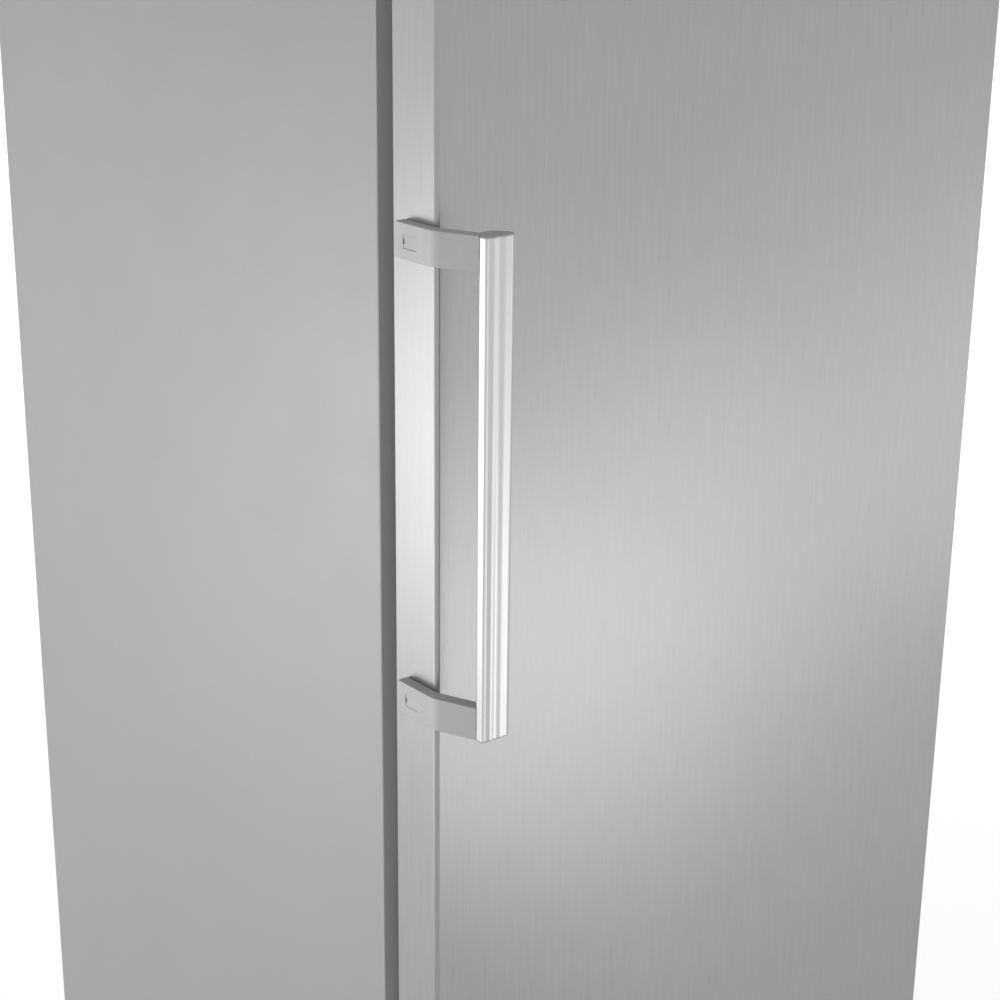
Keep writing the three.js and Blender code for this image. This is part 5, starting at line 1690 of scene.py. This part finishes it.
class FREEZER_OT_controls(bpy.types.Operator):
    """Control housing with its display, buttons and the lugs that carry the flap"""

    bl_idname = "freezer.controls"
    bl_label = "Controls"

    def execute(self, context):
        s = sizes()
        x, y, z = spans("control_housing")
        window = spans("display_window")
        bottom = 2 * mid(window[2]) - z[1]
        body = slab(x, y, (bottom, z[1]), 0.0025, 4)
        axis_y, axis_z = flap_axis()
        lug, thick, bore, slack = 0.009, 0.006, s.flap_pin + 0.0005, 0.01
        outline = [(axis_y + lug, bottom + thick), (axis_y - lug, bottom + thick),
                   *arc(axis_y, axis_z, lug, 180, 360, 16)]
        for side in ((x[0], x[0] + thick), (x[1] - thick, x[1])):
            tab = soften(prism(outline, *side, "side"), s.edge_round, angle=60)
            hole = prism(circle(axis_y, axis_z, bore, 24), *inset(side, -s.past), "side")
            body = carve(weld(body, tab), hole)

        def well(node_spans, gap, behind, radius):
            across, depth, up = node_spans
            return slab(inset(across, -gap), (y[0] - slack, depth[1] + behind), inset(up, -gap), radius)

        wells = []
        for i in (1, 2, 3):
            button = spans(f"button_{i}")
            wells.append(well(button, 0.0004, 0.0014, 0.0016))
            dish = turned(placed(BUTTON_DISH, up=button[1][0]), (mid(button[0]), 0, mid(window[2])), "y", 32)
            cap = carve(slab(*button, 0.0009), dish)
            piece(f"button_cap_{i}", cap, grey_plastic, f"button_{i}", f"button_{i}")
        line, deep = bottom + 0.0045, 0.0006
        groove = block((x[0] - s.past, y[0] - s.past, line), (x[1] + s.past, y[0] + deep, line + deep))
        body = carve(body, well(window, s.fit, s.fit, 0.0012), groove, *wells)
        piece("control_panel", body, liner_plastic, CABINET, "control_housing")
        piece("display", slab(*window, 0.0006), display_plastic, CABINET, "display_window")
        return {"FINISHED"}


class FREEZER_OT_light(bpy.types.Operator):
    """Ribbed cover of the light behind the controls"""

    bl_idname = "freezer.light"
    bl_label = "Light Cover"

    def execute(self, context):
        s = sizes()
        x, y, z = spans("light_cover")
        fold, corner, rise, end, radius = 0.002, 0.006, 0.0004, 0.008, 0.0009
        floor = z[0] + rise
        loops = [plan_loop(x, y, corner, z[1])]
        loops += [plan_loop(inset(x, fold - u), inset(y, fold - u), corner - (fold - u) / 2, floor + fold - v)
                  for u, v in arc(0, 0, fold, 0, 90, 5)]
        rib = tube([(x[0] + end, level, floor) for level in inset(y, end / 2)], radius, 8)
        ribs = row(rib, s.lens_ribs, ((x[1] - x[0] - 2 * end) / (s.lens_ribs - 1), 0, 0), light_plastic)
        for vert in ribs.verts:
            vert.co.z = max(vert.co.z, z[0])
        piece("light_lens", merge(loft(loops), ribs), light_plastic, CABINET, "light_cover")
        return {"FINISHED"}


# ------------------------------------------------------------------ feet and rollers

# The foot's rounded pad: millimetres out from its radius, and up.
FOOT_RIM = ((-2, 0), (-0.6, 0.8), (0, 2.2), (0, 8.5), (-0.6, 9.6), (-2, 10))
# Half a roller's tread from its side to its middle: millimetres out from its radius, and in from its side.
ROLLER_TREAD = ((-1.2, 0), (0, 1.4), (0, 8.8), (-0.8, 9.4))


class FREEZER_OT_feet(bpy.types.Operator):
    """Threaded front feet with ribbed pads"""

    bl_idname = "freezer.feet"
    bl_label = "Front Feet"

    def execute(self, context):
        s = sizes()
        pad, stem, root = s.foot_pad, s.foot_stem, s.foot_stem - 0.0008
        collar, collar_top = 0.01, 0.0195
        for word in ("left", "right"):
            node = f"front_foot_{word}"
            across, depth, up = spans(node)
            x, y, top = mid(across), mid(depth), up[1]
            profile = [(0, 0), *placed(FOOT_RIM, pad), (collar + 0.0002, 0.0104), (collar, 0.0112),
                       (collar, collar_top), (stem, collar_top)]
            pitch = (top - collar_top - 0.001) / s.foot_turns
            for i in range(s.foot_turns):
                z = collar_top + 0.0005 + i * pitch
                profile += [(root, z), (root, z + pitch * 0.2), (stem, z + pitch * 0.5),
                            (stem, z + pitch * 0.7)]
            profile += [(root, top - 0.0004), (root - 0.0004, top), (0, top)]
            foot = turned(profile, (x, y, 0))
            half, sunk, rib_z, edge = 0.001, 0.0022, (0.0026, 0.0082), 0.0005
            rib = slab((x - half, x + half), (y + pad - sunk, y + pad), rib_z, edge, 2)
            ribs = ring(rib, s.foot_ribs, (x, y, 0), (0, 0, 1), dark_plastic)
            piece(f"foot_{word}", merge(foot, ribs), dark_plastic, node, node)
        return {"FINISHED"}


class FREEZER_OT_rollers(bpy.types.Operator):
    """Spoked rear rollers on their axles"""

    bl_idname = "freezer.rollers"
    bl_label = "Rear Rollers"

    def execute(self, context):
        s = sizes()
        axle, half, dish = s.axle, s.roller_half, 0.002
        for word in ("left", "right"):
            node = f"rear_roller_{word}"
            across, depth, up = spans(node)
            x, y, radius = mid(across), mid(depth), (up[1] - up[0]) / 2
            side = [(axle, -half), (radius * 0.45, -half), (radius * 0.5, dish - half),
                    (radius * 0.8, dish - half), (radius * 0.84, -half), *placed(ROLLER_TREAD, radius, -half)]
            profile = side + [(u, -v) for u, v in reversed(side)] + side[:1]
            wheel = turned(profile, (x, y, radius), "x", 64)
            edge, thick = 0.0004, 0.0012
            spoke = slab(inset((x - half, x + half), edge), (y - thick, y + thick),
                         (radius * 1.4, radius * 1.86), edge, 1)
            spokes = ring(spoke, s.wheel_spokes, (x, y, radius), (1, 0, 0), dark_plastic)
            piece(f"roller_{word}", merge(wheel, spokes), dark_plastic, node, node)
            chamfer, ends = axle * 0.85, inset(across, 0.0006)
            profile = [(0, across[0]), (chamfer, across[0]), (axle, ends[0]), (axle, ends[1]),
                       (chamfer, across[1]), (0, across[1])]
            piece(f"axle_{word}", turned(profile, (0, y, radius), "x", 32), zinc_steel, node)
        return {"FINISHED"}


# ------------------------------------------------------------------ stage


def aim(obj, target):
    obj.rotation_euler = (target - obj.location).to_track_quat("-Z", "Y").to_euler()


# Oval area lamps: name, place, width and height in metres, and power in watts.
LAMPS = (
    ("lamp_left", (-1.78, 1.07, 0.47), (0.8, 0.8), 8.0),
    ("lamp_far_left", (-1.87, 2.55, 0.80), (1.2, 1.2), 1.1),
    ("lamp_edge", (-1.53, 0.36, 0.20), (0.2, 0.5), 1.4),
    ("lamp_near_left", (-1.52, -0.13, 0.58), (0.5, 0.5), 0.7),
    ("lamp_front", (0.33, -1.30, 0.42), (0.5, 0.5), 0.4),
    ("lamp_front_low", (0.58, -1.28, 0.30), (0.55, 0.55), 1.15),
    ("lamp_front_right", (1.25, -1.62, 0.34), (0.6, 0.6), 1.3),
    ("lamp_right", (1.90, -1.20, 0.52), (0.8, 0.8), 1.3),
    ("lamp_back_right", (1.07, 1.92, 1.89), (1.2, 1.2), 5.0),
)
LAMP_TARGET = (-0.15, -0.2, 1.0)


def lamp(name, place, target, width, height, watts):
    """An oval area lamp that looks at a point."""
    data = bpy.data.lights.new(name, "AREA")
    data.shape = "ELLIPSE"
    data.size, data.size_y = width, height
    data.energy = watts
    obj = bpy.data.objects.new(name, data)
    bpy.context.scene.collection.objects.link(obj)
    obj.location = place
    aim(obj, target)
    obj.visible_camera = False
    return obj


def make_camera(stage):
    """The camera that the photograph was matched with, set against the door's near corner."""
    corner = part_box("door_panel")[0].copy()
    corner.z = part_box("handle_arm_upper")[0].z
    a, p, r = stage.heading, stage.dip, stage.roll
    level = Vector((math.cos(a), -math.sin(a), 0.0))
    forward = Vector((math.sin(a) * math.cos(p), math.cos(a) * math.cos(p), -math.sin(p)))
    above = Vector((math.sin(a) * math.sin(p), math.cos(a) * math.sin(p), math.cos(p)))
    right = level * math.cos(r) + above * math.sin(r)
    up = -level * math.sin(r) + above * math.cos(r)
    data = bpy.data.cameras.new("camera")
    data.sensor_width = 36.0
    data.lens = stage.lens
    data.clip_start, data.clip_end = 0.05, 100.0
    camera = bpy.data.objects.new("camera", data)
    bpy.context.scene.collection.objects.link(camera)
    turn = Matrix((right, up, -forward)).transposed().to_4x4()
    camera.matrix_world = Matrix.Translation(corner + Vector(stage.camera_from_corner)) @ turn
    bpy.context.scene.camera = camera


def seen(tree):
    """1 for rays from the camera, a reflection or a clear sheet, and 0 for light that spreads."""
    rays = tree.nodes.new("ShaderNodeLightPath")
    socket = rays.outputs["Is Camera Ray"]
    for word in ("Is Glossy Ray", "Is Transmission Ray"):
        either = tree.nodes.new("ShaderNodeMath")
        either.operation = "MAXIMUM"
        tree.links.new(socket, either.inputs[0])
        tree.links.new(rays.outputs[word], either.inputs[1])
        socket = either.outputs[0]
    return socket


def make_world():
    """White where it is seen, and a soft even light."""
    world = bpy.data.worlds.new("studio")
    bpy.context.scene.world = world
    world.use_nodes = True
    tree = world.node_tree
    soft = tree.nodes["Background"]
    soft.inputs["Color"].default_value = (1.0, 1.0, 1.0, 1.0)
    soft.inputs["Strength"].default_value = 0.6
    white = tree.nodes.new("ShaderNodeBackground")
    white.inputs["Color"].default_value = (1.0, 1.0, 1.0, 1.0)
    white.inputs["Strength"].default_value = 1.0
    mix = tree.nodes.new("ShaderNodeMixShader")
    tree.links.new(seen(tree), mix.inputs[0])
    tree.links.new(soft.outputs[0], mix.inputs[1])
    tree.links.new(white.outputs[0], mix.inputs[2])
    tree.links.new(mix.outputs[0], tree.nodes["World Output"].inputs["Surface"])


def make_floor():
    """A wide pale floor that brightens into the white behind it."""
    reach = 40.0
    bm = bmesh.new()
    corners = [(-reach, -reach), (reach, -reach), (reach, reach), (-reach, reach)]
    bm.faces.new([bm.verts.new((x, y, 0.0)) for x, y in corners])
    floor = loose_object("floor", bm)
    f = Finish("floor", (0.55, 0.55, 0.55), 0.7)
    f.shade(f.spread(f.noise(3.0), 0.995, 1.005))
    glow = f.tree.nodes.new("ShaderNodeEmission")
    distance = f.tree.nodes.new("ShaderNodeVectorMath")
    distance.operation = "LENGTH"
    f.link(f.coordinates, distance.inputs[0])
    strength = f.tree.nodes.new("ShaderNodeMath")
    strength.operation = "MULTIPLY"
    f.link(seen(f.tree), strength.inputs[0])
    f.link(f.spread(distance.outputs["Value"], 0.6, 0.95, 1.2, 4.5), strength.inputs[1])
    f.link(strength.outputs[0], glow.inputs["Strength"])
    both = f.tree.nodes.new("ShaderNodeAddShader")
    f.link(f.shader.outputs[0], both.inputs[0])
    f.link(glow.outputs[0], both.inputs[1])
    f.link(both.outputs[0], f.tree.nodes["Material Output"].inputs["Surface"])
    floor.data.materials.append(f.material)


class FREEZER_OT_stage(bpy.types.Operator):
    """Floor, background, lamps and camera"""

    bl_idname = "freezer.stage"
    bl_label = "Stage"

    def execute(self, context):
        stage = context.scene.freezer_stage
        make_world()
        make_floor()
        make_camera(stage)
        for name, place, size, watts in LAMPS:
            lamp(name, Vector(place), Vector(LAMP_TARGET), *size, watts)
        context.scene.view_settings.view_transform = "Standard"
        return {"FINISHED"}


# ------------------------------------------------------------------ panel and run

STEPS = (
    FREEZER_OT_door_skin,
    FREEZER_OT_door_caps,
    FREEZER_OT_door_inside,
    FREEZER_OT_handle,
    FREEZER_OT_side_panels,
    FREEZER_OT_top_and_back,
    FREEZER_OT_base,
    FREEZER_OT_hinges,
    FREEZER_OT_liner,
    FREEZER_OT_air_duct,
    FREEZER_OT_fan,
    FREEZER_OT_evaporator,
    FREEZER_OT_compressor,
    FREEZER_OT_condenser,
    FREEZER_OT_mains_inlet,
    FREEZER_OT_shelves,
    FREEZER_OT_drawers,
    FREEZER_OT_flap,
    FREEZER_OT_controls,
    FREEZER_OT_light,
    FREEZER_OT_feet,
    FREEZER_OT_rollers,
    FREEZER_OT_stage,
)


class FREEZER_PT_panel(bpy.types.Panel):
    """Lists the freezer's pieces and settings"""

    bl_idname = "FREEZER_PT_panel"
    bl_label = "Upright Freezer"
    bl_space_type = "VIEW_3D"
    bl_region_type = "UI"
    bl_category = "Freezer"

    def draw(self, context):
        for step in STEPS:
            self.layout.operator(step.bl_idname)
        scene = context.scene
        groups = (scene.freezer_sizes, scene.freezer_handle, scene.freezer_colours, scene.freezer_stage)
        for group in groups:
            for name in group.bl_rna.properties.keys():
                if name not in {"rna_type", "name"}:
                    self.layout.prop(group, name)


CLASSES = (FreezerSizes, FreezerHandle, FreezerColours, FreezerStage, *STEPS, FREEZER_PT_panel)


def register():
    for cls in CLASSES:
        bpy.utils.register_class(cls)
    bpy.types.Scene.freezer_sizes = bpy.props.PointerProperty(type=FreezerSizes)
    bpy.types.Scene.freezer_handle = bpy.props.PointerProperty(type=FreezerHandle)
    bpy.types.Scene.freezer_colours = bpy.props.PointerProperty(type=FreezerColours)
    bpy.types.Scene.freezer_stage = bpy.props.PointerProperty(type=FreezerStage)


def unregister():
    del bpy.types.Scene.freezer_stage
    del bpy.types.Scene.freezer_colours
    del bpy.types.Scene.freezer_handle
    del bpy.types.Scene.freezer_sizes
    for cls in reversed(CLASSES):
        bpy.utils.unregister_class(cls)


def main():
    register()
    for step in STEPS:
        group, name = step.bl_idname.split(".")
        getattr(getattr(bpy.ops, group), name)()


if __name__ == "__main__":
    main()
